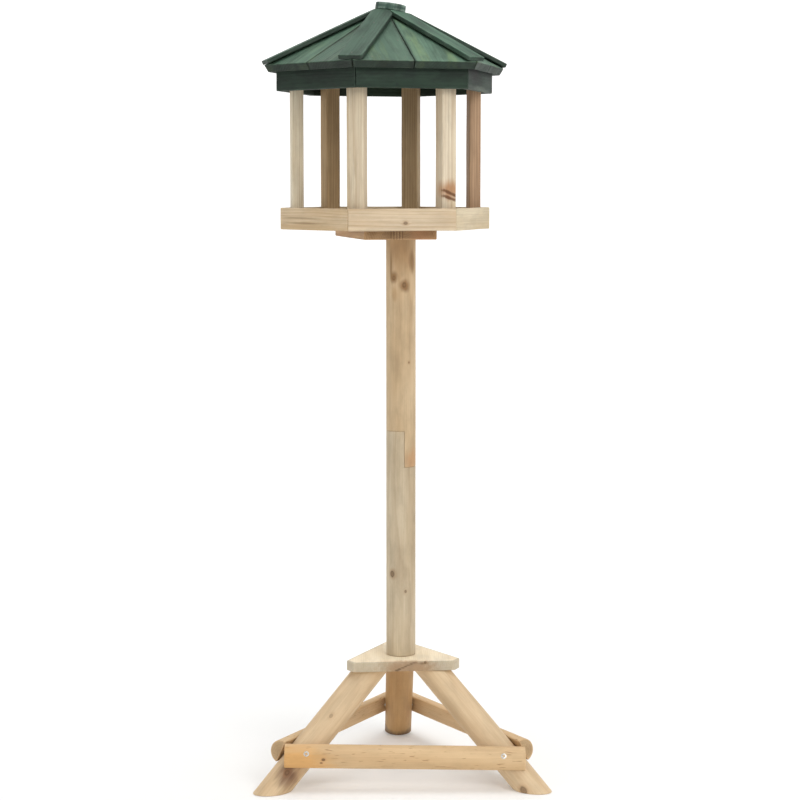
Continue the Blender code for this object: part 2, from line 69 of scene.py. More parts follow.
UP = np.array((0.0, 0.0, 1.0))
HEX_HALF = math.radians(30)
RING = range(1, 7)
SEEDS = {
    "legs": 11, "crossbars": 21, "plate": 31, "pole": 41, "rim": 51, "floor": 61, "cleat": 71,
    "posts": 81, "fascia": 91, "roof boards": 100, "battens": 130, "cap": 141,
}
SKEW = (0.31, 0.87, 0.38)  # a direction that no screw or nail points along
LEAST_RADIUS = 0.006  # nearer to a piece's middle than this, its unevenness fades
END_GRAIN_FADE = 12  # how fast the rows that close an end turn to end grain
TREE_STEP = 0.37  # how far apart two pieces lie in the noise of their wood
STAIN_BUMP = 0.0004  # relief of the stained boards
FINISHES = {
    "pale pine": "pine",
    "pole pine": "pole",
    "log pine": "log",
    "plate pine": "plate",
    "brown pine": "brown",
    "roof stain": "roof",
    "trim stain": "trim",
}


# Where the pieces lie


def corners_of(node):
    """The corner points of a node of the frame, one to a row."""
    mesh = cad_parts[node].data
    points = np.empty(len(mesh.vertices) * 3)
    mesh.vertices.foreach_get("co", points)
    return points.reshape(-1, 3)


def faces_of(node):
    """The normals and areas of a node's faces."""
    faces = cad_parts[node].data.polygons
    normals = np.empty(len(faces) * 3)
    areas = np.empty(len(faces))
    faces.foreach_get("normal", normals)
    faces.foreach_get("area", areas)
    return normals.reshape(-1, 3), areas


def unit(vector):
    return np.asarray(vector, float) / np.linalg.norm(vector)


def middle_of(*nodes):
    """The mean of the middles of the nodes' boxes."""
    boxes = [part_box(node) for node in nodes]
    return np.mean([(np.array(low) + np.array(high)) / 2 for low, high in boxes], axis=0)


class Lie:
    """How a length of timber lies: its middle, its axes (along, across, depth) and half its size on each."""

    def __init__(self, middle, axes, half):
        self.middle = np.asarray(middle, float)
        self.axes = np.asarray(axes, float)
        self.half = np.asarray(half, float)

    def out(self, points):
        """Local points, (along, across, depth), turned into the frame's own."""
        return self.middle + points @ self.axes

    def into(self, points):
        """The frame's points turned into local ones."""
        return (np.asarray(points, float) - self.middle) @ self.axes.T

    def grown(self, points):
        """The same axes with the middle and half sizes that just hold these points."""
        local = self.into(points)
        low, high = local.min(axis=0), local.max(axis=0)
        return Lie(self.out((low + high) / 2), self.axes, (high - low) / 2)


def lie_of(node, depth_towards, along_towards, exact=False):
    """Reads a sawn piece's axes from its faces: depth is square to the largest face, along is the longer
    of the two others, and both point the way asked for. When exact, along is simply the way asked for,
    laid into the largest face."""
    normals, areas = faces_of(node)
    weight = ((normals @ normals.T) > 0.999) @ areas
    depth = unit(normals[weight.argmax()])
    depth = depth * (1 if depth @ depth_towards >= 0 else -1)
    if exact:
        along = unit(along_towards - depth * (depth @ along_towards))
        return Lie((0, 0, 0), (along, np.cross(depth, along), depth), (0, 0, 0)).grown(corners_of(node))
    square = np.abs(normals @ depth) < 0.05
    side = normals[np.where(square, weight, 0).argmax()]
    side = unit(side - depth * (side @ depth))
    other = np.cross(depth, side)
    points = corners_of(node)
    along = side if np.ptp(points @ side) > np.ptp(points @ other) else other
    along = along * (1 if along @ along_towards >= 0 else -1)
    return Lie((0, 0, 0), (along, np.cross(depth, along), depth), (0, 0, 0)).grown(points)


def lie_of_log(node, depth_towards):
    """Reads a leg's axis from the middles of its two level sawn faces."""
    points = corners_of(node)
    ends = []
    for level in (points[:, 2].min(), points[:, 2].max()):
        face = points[np.abs(points[:, 2] - level) < 0.0002]
        ends.append((face.min(axis=0) + face.max(axis=0)) / 2)
    along = unit(ends[1] - ends[0])
    depth = unit(depth_towards - along * (along @ depth_towards))
    middle = (ends[0] + ends[1]) / 2
    apart = points - middle
    radius = np.linalg.norm(apart - np.outer(apart @ along, along), axis=1).max()
    length = np.linalg.norm(ends[1] - ends[0])
    return Lie(middle, (along, np.cross(depth, along), depth), (length / 2, radius, radius))


# Profiles, each an outline of (across, depth) points, anticlockwise


def board_outline(half_across, half_depth, edge, turns=4, spans=(8, 4)):
    """A rectangle whose four corners are quarter circles of the edge's radius, with points spread
    evenly along its sides and close to each corner."""
    quarter = np.linspace(0, math.pi / 2, turns + 1)
    arcs = []
    for k, (a, b) in enumerate(((1, -1), (1, 1), (-1, 1), (-1, -1))):
        turn = quarter + math.pi / 2 * (k - 1)
        centre = (a * (half_across - edge), b * (half_depth - edge))
        arcs.append(np.stack((centre[0] + edge * np.cos(turn), centre[1] + edge * np.sin(turn)), 1))
    outline = []
    for k, arc in enumerate(arcs):
        share = np.linspace(0, 1, spans[(k + 1) % 2] + 1)[1:-1]
        share = np.concatenate(([0.03], share, [0.97]))[:, None]
        outline += [arc, arc[-1] * (1 - share) + arcs[(k + 1) % 4][0] * share]
    return np.concatenate(outline)


def round_outline(radius, count=72):
    """A circle."""
    turn = np.linspace(0, math.tau, count, endpoint=False)
    return np.stack((radius * np.cos(turn), radius * np.sin(turn)), 1)


def half_round_outline(half_across, half_depth, edge, count=56):
    """Half a circle of the bar's radius with its flat side down and its two corners rounded: a point at
    each angle, pulled in from the corners by the edge's radius."""
    turn = np.linspace(0, math.pi, count)
    pull = edge * np.exp(-((np.minimum(turn, math.pi - turn) / 0.06) ** 2))
    arc = np.stack(((half_across - pull) * np.cos(turn), 2 * half_depth * np.sin(turn)), 1)
    arc[:, 1] = np.maximum(arc[:, 1], edge * (1 - np.exp(-turn * (math.pi - turn) * 30)) * 0.5)
    share = np.concatenate(([0.01], np.linspace(0, 1, 12)[1:-1], [0.99]))
    flat = np.stack((-half_across + edge + share * 2 * (half_across - edge), np.zeros(share.size)), 1)
    return np.concatenate((arc, flat)) - (0, half_depth)


# Carrying a profile along a piece


def cut_distance(lie, across, depth, planes, side):
    """How far along a line of the timber runs before it meets the first of its saw cuts. Each cut is a
    point and a normal; the distance is that of a line and a plane."""
    foot = lie.middle + across[..., None] * lie.axes[1] + depth[..., None] * lie.axes[2]
    reach = [((point - foot) @ normal) / (lie.axes[0] @ normal) for point, normal in planes]
    return np.min(reach, axis=0) if side > 0 else np.max(reach, axis=0)


def stations(count, edge, length, extra=(), turns=4):
    """Rows for a piece: share of the length, step along, inset of the outline and its size. Both ends
    are rounded by a quarter circle and closed by rows that shrink to the middle."""
    turn = np.linspace(0, math.pi / 2, turns + 1)
    inset = edge * (1 - np.sin(turn))
    step = edge * (1 - np.cos(turn))
    inner = np.linspace(0, 1, count + 1)
    inner = inner[(inner * length > 2 * edge) & ((1 - inner) * length > 2 * edge)]
    past_edge = 1.3 * edge / length
    inner = np.unique(np.concatenate((inner, (past_edge, 1 - past_edge), extra)))
    shrink = np.array((0.12, 0.4, 0.65, 0.85, 0.96))
    none, flat, still = np.zeros(inner.size), np.zeros(shrink.size), np.zeros(turn.size)
    share = np.concatenate((flat, still, inner, still + 1, flat + 1))
    steps = np.concatenate((flat, step, none, -step[::-1], flat))
    insets = np.concatenate((flat + edge, inset, none, inset[::-1], flat + edge))
    sizes = np.concatenate((shrink, still + 1, none + 1, still + 1, shrink[::-1]))
    return share, steps, insets, sizes


def carried(lie, outline, rows, planes=None):
    """Carries an outline along a piece: at each row it is drawn in by the inset and sized about its own
    middle, then set between the two saw cuts. Returns local points, rows by outline."""
    share, steps, insets, sizes = rows
    outline = np.broadcast_to(outline, (share.size, *outline.shape[-2:]))
    low, high = outline.min(axis=1, keepdims=True), outline.max(axis=1, keepdims=True)
    centre, half = (low + high) / 2, (high - low) / 2
    scale = (1 - insets[:, None, None] / half) * sizes[:, None, None]
    flat = centre + (outline - centre) * scale
    across, depth = flat[..., 0], flat[..., 1]
    start, finish = -lie.half[0], lie.half[0]
    if planes:
        start = cut_distance(lie, across, depth, planes[0], -1)
        finish = cut_distance(lie, across, depth, planes[1], 1)
    along = start + (finish - start) * share[:, None] + steps[:, None] + 0 * across
    return np.stack((along, across, depth), axis=-1)


def uneven(points, seed, amount, swing=3.0):
    """Hand-worked unevenness: across and depth swell by a sum of three slow waves along the piece and
    round it. A longer swing makes them slower."""
    random = np.random.default_rng(seed)
    along = points[..., 0]
    turn = np.arctan2(points[..., 2], points[..., 1])
    wave = 0.0
    for k in (1, 2, 3):
        pace, phase, other = random.uniform(8, 26), random.uniform(0, 6), random.uniform(0, 6)
        wave = wave + np.sin(along * pace * k / swing * 3 + phase) * np.cos(turn * k + other) / k
    size = np.linalg.norm(points[..., 1:], axis=-1, keepdims=True)
    moved = points.copy()
    moved[..., 1:] *= 1 + amount * wave[..., None] / np.maximum(size, LEAST_RADIUS)
    return moved


def edge_distance(points, half, sawn):
    """How far each point is from the nearest sharp edge of a board: from the corner of its section on the
    sides, and from the outline on the end faces."""
    across = np.maximum(half[1] - np.abs(points[..., 1]), 0)
    depth = np.maximum(half[2] - np.abs(points[..., 2]), 0)
    ends = np.minimum(points[..., 0] - points[..., 0].min(), points[..., 0].max() - points[..., 0])
    return np.where(sawn > 0.5, np.minimum(across, depth), np.minimum(np.hypot(across, depth), ends))


def board(lie, seed, planes=None, count=60, spans=(8, 4), swell=1.0, edge=None, turns=4, end=1.0):
    """A sawn piece: a rectangle with rounded edges carried along the timber between its saw cuts and
    made uneven. It has count rows, spans points along a wide and a narrow side, and turns to a corner.
    swell and end are shares of the usual unevenness and of the usual rounding of an end."""
    sizes = bpy.context.scene.feeder_sizes
    outline = board_outline(lie.half[1], lie.half[2], edge or sizes.board_edge, turns, spans)
    rows = stations(count, sizes.board_edge * end, 2 * lie.half[0])
    return uneven(carried(lie, outline, rows, planes), seed, sizes.unevenness * swell), rows


def round_faces(rows, count, start=0):
    """The point numbers of rows that each close round, those one step on, and the four-sided faces
    between neighbouring rows."""
    here = start + np.arange(rows * count).reshape(rows, count)
    after = np.roll(here, -1, axis=1)
    return here, after, np.stack((here[:-1], after[:-1], after[1:], here[1:]), axis=-1).reshape(-1, 4)


def smooth_mesh(name, points, faces):
    mesh = bpy.data.meshes.new(name)
    mesh.from_pydata(points.tolist(), [], faces)
    mesh.polygons.foreach_set("use_smooth", np.ones(len(mesh.polygons), bool))
    mesh.update()
    return mesh


def solid(name, points):
    """Puts rows of points into a mesh: faces between rows, round the outline, and a fan to a middle
    point at each end."""
    here, after, quads = round_faces(*points.shape[:2])
    flat = points.reshape(-1, 3)
    first, last = np.full(len(here[0]), len(flat)), np.full(len(here[0]), len(flat) + 1)
    fans = np.concatenate((
        np.stack((after[0], here[0], first), 1),
        np.stack((here[-1], after[-1], last), 1),
    ))
    flat = np.concatenate((flat, [points[0].mean(axis=0)], [points[-1].mean(axis=0)]))
    return smooth_mesh(name, flat, quads.tolist() + fans.tolist())


def joined_solids(name, parts):
    """Many like solids in one mesh, each closed by one flat face at both ends."""
    faces = []
    for k, part in enumerate(parts):
        here, _, quads = round_faces(*part.shape[:2], k * part[..., 0].size)
        faces += quads.tolist() + [here[0][::-1].tolist(), here[-1].tolist()]
    return smooth_mesh(name, np.concatenate([part.reshape(-1, 3) for part in parts]), faces)


def keep(mesh, attribute, kind, values):
    """Stores one value to a point; the two middle points take those of the rows beside them."""
    width = values.shape[-1] if kind == "FLOAT_VECTOR" else 1
    flat = values.reshape(-1, width)
    count = values.shape[1]
    flat = np.concatenate((flat, [flat[:count].mean(axis=0)], [flat[-count:].mean(axis=0)]))
    layer = mesh.attributes.new(attribute, kind, "POINT")
    layer.data.foreach_set("vector" if width == 3 else "value", flat.ravel().astype(np.float32))


def add_piece(name, mesh, material, node=None):
    """Puts a mesh in the scene with its material, on the feeder's one body, and in place of a node of
    the frame where it stands for one."""
    piece = bpy.data.objects.new(name, mesh)
    bpy.context.scene.collection.objects.link(piece)
    piece.data.materials.append(material)
    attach(piece, "root")
    if node:
        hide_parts(node)


def add_timber(node, lie, points, rows, material, seed, tone=1.0, pith=(0.045, 0.03), skirt=0.0):
    """Makes one piece of timber that stands for a node, with its grain: the place of each point along
    the fibres and from the heart of the tree it was sawn from. It stays inside the feeder's box. With a
    skirt, whatever lies further than that below the upper face counts as a sawn side."""
    sawn = np.clip((1 - rows[3]) * END_GRAIN_FADE, 0, 1)[:, None] + np.zeros(points.shape[:2])
    if skirt:
        sawn = np.maximum(sawn, np.clip((lie.half[2] - points[..., 2]) / skirt - 0.3, 0, 1))
    mesh = solid(node + "_timber", np.clip(lie.out(points), *cad_box))
    keep(mesh, "grain", "FLOAT_VECTOR", points + (0, *pith))
    tree = np.full(sawn.shape, seed * TREE_STEP)
    keep(mesh, "board", "FLOAT_VECTOR", np.stack((tree, np.full(sawn.shape, tone), sawn), axis=-1))
    keep(mesh, "edge", "FLOAT", edge_distance(points, lie.half, sawn))
    add_piece(node + "_timber", mesh, material, node)


# Finishes


class Finish:
    """A material's nodes, made one after another. Each call returns the new node's output."""

    def __init__(self, name):
        self.material = bpy.data.materials.new(name)
        self.material.use_nodes = True
        self.nodes = self.material.node_tree.nodes
        self.links = self.material.node_tree.links
        self.shader = self.nodes["Principled BSDF"]

    def put(self, socket, value):
        if isinstance(value, bpy.types.NodeSocket):
            self.links.new(value, socket)
        elif value is not None:
            socket.default_value = value

    def node(self, kind, settings, *inputs):
        node = self.nodes.new(kind)
        for key, value in settings.items():
            setattr(node, key, value)
        for socket, value in zip(node.inputs, inputs):
            self.put(socket, value)
        return node

    def stored(self, name, output="Vector"):
        return self.node("ShaderNodeAttribute", {"attribute_name": name}).outputs[output]

    def place(self):
        return self.node("ShaderNodeTexCoord", {}).outputs["Object"]

    def math(self, operation, a, b=None, c=None, clamp=False):
        settings = {"operation": operation, "use_clamp": clamp}
        return self.node("ShaderNodeMath", settings, a, b, c).outputs[0]

    def vector(self, operation, a, b=None):
        node = self.node("ShaderNodeVectorMath", {"operation": operation}, a, b)
        return node.outputs["Value" if operation == "LENGTH" else "Vector"]

    def split(self, vector):
        return self.node("ShaderNodeSeparateXYZ", {}, vector).outputs

    def joined(self, x, y, z):
        return self.node("ShaderNodeCombineXYZ", {}, x, y, z).outputs[0]

    def noise(self, vector, scale, detail=2.0, roughness=0.5):
        node = self.node("ShaderNodeTexNoise", {}, vector)
        node.inputs["Scale"].default_value = scale
        node.inputs["Detail"].default_value = detail
        node.inputs["Roughness"].default_value = roughness
        return node.outputs["Fac"]

    def drawn(self, vector, scales, detail=2.0, roughness=0.5):
        """Noise with its own scale along, across and in depth."""
        return self.noise(self.vector("MULTIPLY", vector, scales), 1.0, detail, roughness)

    def nudged(self, value, noise, reach):
        """The value moved either way by the noise's swing about its middle."""
        return self.math("MULTIPLY_ADD", self.math("SUBTRACT", noise, 0.5), reach, value)

    def span(self, value, low, high, to_low=0.0, to_high=1.0):
        """Maps low..high smoothly to to_low..to_high, held at both ends."""
        kind = {"interpolation_type": "SMOOTHSTEP"}
        return self.node("ShaderNodeMapRange", kind, value, low, high, to_low, to_high).outputs[0]

    def ramp(self, value, stops):
        node = self.node("ShaderNodeValToRGB", {}, value)
        stop_list = node.color_ramp.elements
        while len(stop_list) < len(stops):
            stop_list.new(0.5)
        for stop, (place, shade) in zip(stop_list, stops):
            stop.position = place
            stop.color = (shade, shade, shade, 1)
        return node.outputs["Color"]

    def mix(self, factor, a, b, blend="MIX"):
        """Mixes two colours through the colour sockets of a mix node, which share their names with
        others and so go by number."""
        node = self.nodes.new("ShaderNodeMix")
        node.data_type = "RGBA"
        node.blend_type = blend
        self.put(node.inputs["Factor"], factor)
        for number, shade in ((6, a), (7, b)):
            self.put(node.inputs[number], (*shade, 1) if isinstance(shade, (tuple, list)) else shade)
        return node.outputs[2]

    def done(self, colour, roughness, height, depth):
        bump = self.node("ShaderNodeBump", {})
        bump.inputs["Strength"].default_value = 1.0
        bump.inputs["Distance"].default_value = depth
        self.put(bump.inputs["Height"], height)
        self.put(self.shader.inputs["Base Color"], colour)
        self.put(self.shader.inputs["Roughness"], roughness)
        self.put(self.shader.inputs["Normal"], bump.outputs[0])
        return self.material


def timber_finish(
    name, light, deep, late, ring=0.0042, contrast=0.38, wander=0.005, lean=0.0, patch=0.5, fibre=0.22,
    dirt=0.14, knots=(), streaks=(), worn=None, bump=0.0003, flecks=0.2, fleck_size=(70, 1500, 1500),
    end=0.72, blush=None, core=(0.22, 0.62),
):
    """Wood. Rings are the distance from the heart, bent by slow noise and pushed aside round knots, in
    steps of the ring's width; each darkens slowly and ends sharply. Fibres are noise drawn out along
    the grain. contrast, patch, fibre, flecks and dirt are how strong the rings, the clouds of deep
    wood, the fibres, the small dark flecks and the dirt are. wander and lean bend the rings. A knot is
    a place, a size and a strength, with core the two shades of its middle. A streak is a place, its
    reach along each axis, a shade and a strength. worn is the shade, amount and reach of rubbed edges,
    blush a second shade in clouds and its amount, end the darkness of sawn ends, bump the relief."""
    f = Finish(name)
    grain = f.stored("grain")
    seed, tone, sawn = f.split(f.stored("board"))
    shift = f.vector("MULTIPLY", f.joined(seed, seed, seed), (7.3, 3.1, 5.7))
    here = f.vector("ADD", grain, shift)
    along, across, depth = f.split(grain)
    slow = f.drawn(here, (3.5, 26, 26))
    ripple = f.drawn(here, (22, 180, 180), 3.0)
    heart = f.math("SQRT", f.math("ADD", f.math("POWER", across, 2.0), f.math("POWER", depth, 2.0)))
    bent = f.nudged(f.nudged(heart, slow, wander), ripple, 0.0011)
    bent = f.math("MULTIPLY_ADD", along, lean, bent)
    marks = []
    for place, size, strength in knots:
        spread = (1 / (1.35 * size), 1 / size, 1 / size)
        apart = f.vector("LENGTH", f.vector("MULTIPLY", f.vector("SUBTRACT", grain, tuple(place)), spread))
        marks.append((apart, strength))
        bent = f.math("ADD", bent, f.span(apart, 0.4, 3.2, size * 0.9, 0.0))
    in_ring = f.math("FRACT", f.math("DIVIDE", bent, ring))
    late_wood = f.ramp(in_ring, ((0.0, 0.05), (0.45, 0.18), (0.80, 0.85), (0.90, 1.0), (1.0, 0.0)))
    year = f.noise(f.joined(f.math("DIVIDE", bent, ring * 3.1), seed, 0.0), 1.0, 1.0)
    late_wood = f.math("MULTIPLY", late_wood, f.span(year, 0.3, 0.7, 0.35, 1.0))
    clouds = f.drawn(here, (5, 34, 34), 3.0, 0.55)
    grime = f.drawn(here, (16, 42, 42), 5.0, 0.62)
    strands = f.drawn(here, (9, 620, 620), 4.0, 0.65)
    specks = f.drawn(here, fleck_size, 1.0)
    colour = f.mix(f.span(clouds, 0.35, 0.68, 0.0, patch), light, deep)
    colour = f.mix(f.math("MULTIPLY", late_wood, contrast), colour, late)
    colour = f.mix(f.span(strands, 0.38, 0.66, fibre, 0.0), colour, late)
    colour = f.mix(f.span(specks, 0.66, 0.74, 0.0, flecks), colour, late)
    if blush:
        shade, amount = blush
        bloom = f.drawn(f.vector("ADD", here, (3, 1, 2)), (9, 46, 46), 4.0, 0.6)
        colour = f.mix(f.span(bloom, 0.50, 0.72, 0.0, amount), colour, shade)
    for place, reach, shade, strength in streaks:
        away = f.vector("MULTIPLY", f.vector("SUBTRACT", grain, tuple(place)), tuple(1 / r for r in reach))
        bend = f.nudged(f.vector("LENGTH", away), ripple, 0.9)
        colour = f.mix(f.span(bend, 0.25, 1.15, strength, 0.0), colour, shade)
    for apart, strength in marks:
        rough_edge = f.nudged(apart, ripple, 0.7)
        halo = f.span(rough_edge, 0.7, 2.3, 0.6 * strength, 0.0)
        colour = f.mix(halo, colour, tuple(c * t for c, t in zip(late, (1.15, 1.0, 0.85))))
        rings = f.math("PINGPONG", f.math("MULTIPLY", rough_edge, 2.4), 1.0)
        mottle = f.math("MULTIPLY_ADD", rings, 0.3, grime)
        inner, outer = (tuple(share * c for c in late) for share in core)
        middle = f.mix(f.span(mottle, 0.45, 0.85), inner, outer)
        colour = f.mix(f.span(rough_edge, 0.75, 1.25, strength, 0.0), colour, middle)
    if worn:
        shade, amount, reach = worn
        near = f.span(f.stored("edge", "Fac"), 0.0, reach, 1.0, 0.0)
        rub = f.drawn(here, (38, 90, 90), 4.0, 0.6)
        rubbed = f.math("MULTIPLY", near, f.span(rub, 0.36, 0.62), clamp=True)
        colour = f.mix(f.math("MULTIPLY", rubbed, amount), colour, shade)
    dull = f.math("MULTIPLY", f.span(grime, 0.30, 0.60, 1.0 - dirt, 1.0), tone)
    dull = f.math("MULTIPLY", dull, f.math("MULTIPLY_ADD", sawn, end - 1.0, 1.0))
    colour = f.mix(1.0, colour, f.joined(dull, dull, dull), "MULTIPLY")
    height = f.math("MULTIPLY_ADD", strands, 0.55, f.math("MULTIPLY", late_wood, 0.45))
    f.shader.inputs["Specular IOR Level"].default_value = 0.35
    return f.done(colour, f.span(clouds, 0.2, 0.8, 0.55, 0.70), height, bump)


def zinc_finish():
    """Bright zinc: a metal with cloudy crystals in its colour and roughness and fine specks in its bump."""
    f = Finish("zinc")
    place = f.place()
    cloud = f.noise(place, 900.0, 4.0, 0.6)
    speck = f.noise(place, 3200.0)
    colour = f.mix(f.span(cloud, 0.35, 0.65), (0.66, 0.65, 0.62), (0.86, 0.85, 0.82))
    # The cross recess is painted near black by its depth: painted shade.
    colour = f.mix(f.stored("sink", "Fac"), colour, (0.035, 0.032, 0.03))
    f.shader.inputs["Metallic"].default_value = 1.0
    return f.done(colour, f.span(cloud, 0.3, 0.7, 0.24, 0.42), speck, 0.00004)


def steel_finish():
    """Dull nails with a thin film of stain: noise sets the cover and the roughness."""
    f = Finish("steel")
    cloud = f.noise(f.place(), 700.0, 3.0)
    colour = f.mix(f.span(cloud, 0.35, 0.65), (0.06, 0.06, 0.05), (0.22, 0.21, 0.18))
    f.shader.inputs["Metallic"].default_value = 0.6
    return f.done(colour, f.span(cloud, 0.3, 0.7, 0.4, 0.7), cloud, 0.00004)


def finish_named(name, tint=(1, 1, 1), **changes):
    """One of the feeder's timber finishes, its colours tinted and any of its options changed."""
    looks = bpy.context.scene.feeder_looks
    colours = [getattr(looks, f"{FINISHES[name]}_{part}") for part in ("light", "deep", "late")]
    tinted = [tuple(c * t for c, t in zip(colour, tint)) for colour in colours]
    return timber_finish(name, *tinted, **changes)


def in_grain(lie, pith, marks):
    """Knots or streaks on the object with their places turned into those of a piece's grain."""
    return [(tuple(lie.into(place) + (0, *pith)), *rest) for place, *rest in marks]


# Settings


def colour_setting(name, description, default):
    return FloatVectorProperty(
        name=name, description=description, default=default, size=3, min=0, max=1, subtype="COLOR"
    )


def length_setting(name, description, default):
    return FloatProperty(name=name, description=description, default=default, unit="LENGTH")


def angle_setting(name, description, default):
    return FloatProperty(name=name, description=description, default=math.radians(default), unit="ROTATION")


class FeederSizes(PropertyGroup):
    plate_corner: length_setting("Plate corner", "Radius of the plate's corners", 0.0022)
    board_edge: length_setting("Board edge", "Radius of a board's edges", 0.0011)
    post_edge: length_setting("Post edge", "Radius of a post's edges", 0.0026)
    log_edge: length_setting("Log edge", "Radius of a log's sawn edges", 0.0014)
    mitre: length_setting("Mitre", "Gap of a mitred joint", 0.00015)
    unevenness: length_setting("Unevenness", "How far a surface wanders", 0.00018)
    tip: length_setting("Tip", "Width left at the top of a roof board", 0.003)
    hip_bevel: length_setting("Hip bevel", "Reach of a roof board's bevel at a hip", 0.0035)
    hip_chamfer: length_setting("Hip chamfer", "The same right under a batten", 0.0011)
    nail_head: length_setting("Nail head", "Diameter of a nail's head", 0.0022)
    lap_gap: length_setting("Lap gap", "Gap in the pole's lap joint", 0.0003)
    recess_width: length_setting("Recess width", "Width of an arm of the screw's cross", 0.0014)
    recess_reach: length_setting("Recess reach", "Length of an arm from the middle", 0.0024)
    recess_depth: length_setting("Recess depth", "Depth of the screw's cross", 0.0016)


class FeederLooks(PropertyGroup):
    pine_light: colour_setting("Pine, light", "Early wood of the planed boards", (0.78, 0.62, 0.42))
    pine_deep: colour_setting("Pine, deep", "Darker parts of the planed boards", (0.66, 0.47, 0.27))
    pine_late: colour_setting("Pine, late", "Late wood of the planed boards", (0.42, 0.24, 0.11))
    pole_light: colour_setting("Pole, light", "Early wood of the pole", (0.62, 0.44, 0.25))
    pole_deep: colour_setting("Pole, deep", "Darker parts of the pole", (0.50, 0.33, 0.17))
    pole_late: colour_setting("Pole, late", "Late wood of the pole", (0.30, 0.16, 0.07))
    plate_light: colour_setting("Plate, light", "Early wood of the plate", (0.74, 0.61, 0.43))
    plate_deep: colour_setting("Plate, deep", "Darker parts of the plate", (0.62, 0.47, 0.29))
    plate_late: colour_setting("Plate, late", "Late wood of the plate", (0.40, 0.25, 0.13))
    log_light: colour_setting("Log, light", "Early wood of the legs and bars", (0.68, 0.49, 0.28))
    log_deep: colour_setting("Log, deep", "Darker parts of the legs and bars", (0.56, 0.37, 0.19))
    log_late: colour_setting("Log, late", "Late wood of the legs and bars", (0.34, 0.18, 0.08))
    brown_light: colour_setting("Brown, light", "Early wood of the darker boards", (0.36, 0.23, 0.13))
    brown_deep: colour_setting("Brown, deep", "Darker parts of the darker boards", (0.25, 0.145, 0.075))
    brown_late: colour_setting("Brown, late", "Late wood of the darker boards", (0.13, 0.065, 0.03))
    roof_light: colour_setting("Roof, light", "Thin stain on the roof boards", (0.125, 0.200, 0.142))
    roof_deep: colour_setting("Roof, deep", "Full stain on the roof boards", (0.070, 0.122, 0.090))
    roof_late: colour_setting("Roof, late", "Stain on the late wood of the roof", (0.042, 0.075, 0.055))
    trim_light: colour_setting("Trim, light", "Thin stain on the battens and fascia", (0.045, 0.085, 0.065))
    trim_deep: colour_setting("Trim, deep", "Full stain on the battens and fascia", (0.025, 0.052, 0.040))
    trim_late: colour_setting("Trim, late", "Stain on the late wood of the trim", (0.014, 0.028, 0.022))


class FeederStage(PropertyGroup):
    distance: length_setting("Distance", "From the pole to the camera", 3.1195)
    height: length_setting("Height", "Height of the camera", 0.9253)
    turn: angle_setting("Turn", "Turn of the view about the pole", 1.2)
    pitch: angle_setting("Pitch", "How far the camera looks down", 6.13)
    slide: length_setting("Slide", "Step of the camera to the left", 0.0014)
    lens: FloatProperty(name="Lens", description="Focal length in millimetres", default=90.6)
    sky: FloatProperty(name="Sky", description="Strength of the light all round", default=0.42)


# Operators


class FEEDER_OT_legs(Operator):
    """Makes the three round log legs, sawn level at both ends"""

    bl_idname = "feeder.legs"
    bl_label = "Legs"

    def execute(self, context):
        sizes = context.scene.feeder_sizes
        pith = (0.004, -0.003)
        for seed, node in enumerate(("leg_front_left", "leg_front_right", "leg_rear"), SEEDS["legs"]):
            lie = lie_of_log(node, UP)
            low, high = corners_of(node)[:, 2].min(), corners_of(node)[:, 2].max()
            planes = ([(UP * low, -UP)], [(UP * high, UP)])
            outline = round_outline(lie.half[1] - sizes.unevenness)
            rows = stations(90, sizes.log_edge, 2 * lie.half[0])
            points = uneven(carried(lie, outline, rows, planes), seed, 2 * sizes.unevenness)
            knots, streaks, tint = self.marks(node)
            material = finish_named(
                "log pine", knots=in_grain(lie, pith, knots), streaks=in_grain(lie, pith, streaks),
                tint=tint, lean=0.012, wander=0.012, contrast=0.18, patch=0.7, fibre=0.13, dirt=0.12,
            )
            add_timber(node, lie, points, rows, material, seed, pith=pith)
        return {"FINISHED"}

    def marks(self, node):
        """The knots, the dark marks, the painted shadow at the rear leg's foot and the tint of each leg."""
        pale, dark_blotch = (1.12, 1.19, 1.32), (0.15, 0.070, 0.040)
        if node == "leg_front_right":
            return [((0.1850, -0.1690, 0.0050), 0.0050, 0.6)], (), pale
        if node == "leg_rear":
            knots = [((-0.0060, 0.0280, 0.1500), 0.0040, 0.6), ((0.0060, 0.0700, 0.0700), 0.0045, 0.4)]
            # A dark patch at the rear leg's foot: painted shadow where the leg meets the floor.
            foot = ((0, 0.17, 0.0), (0.022, 0.05, 0.05), (0.10, 0.06, 0.035), 0.75)
            return knots, [foot], (0.81, 0.69, 0.52)
        knots = [((-0.1765, -0.1595, 0.0315), 0.0040, 0.6), ((-0.1095, -0.1210, 0.1099), 0.0026, 0.35)]
        streaks = [
            ((-0.1640, -0.1640, 0.0300), (0.03, 0.02, 0.02), (0.50, 0.27, 0.11), 0.45),
            # Dark blotches round the left foot's lower knot.
            ((-0.1765, -0.1595, 0.0270), (0.0270, 0.0130, 0.02), dark_blotch, 0.75),
            ((-0.1750, -0.1600, 0.0320), (0.0110, 0.0075, 0.02), dark_blotch, 0.9),
        ]
        return knots, streaks, pale


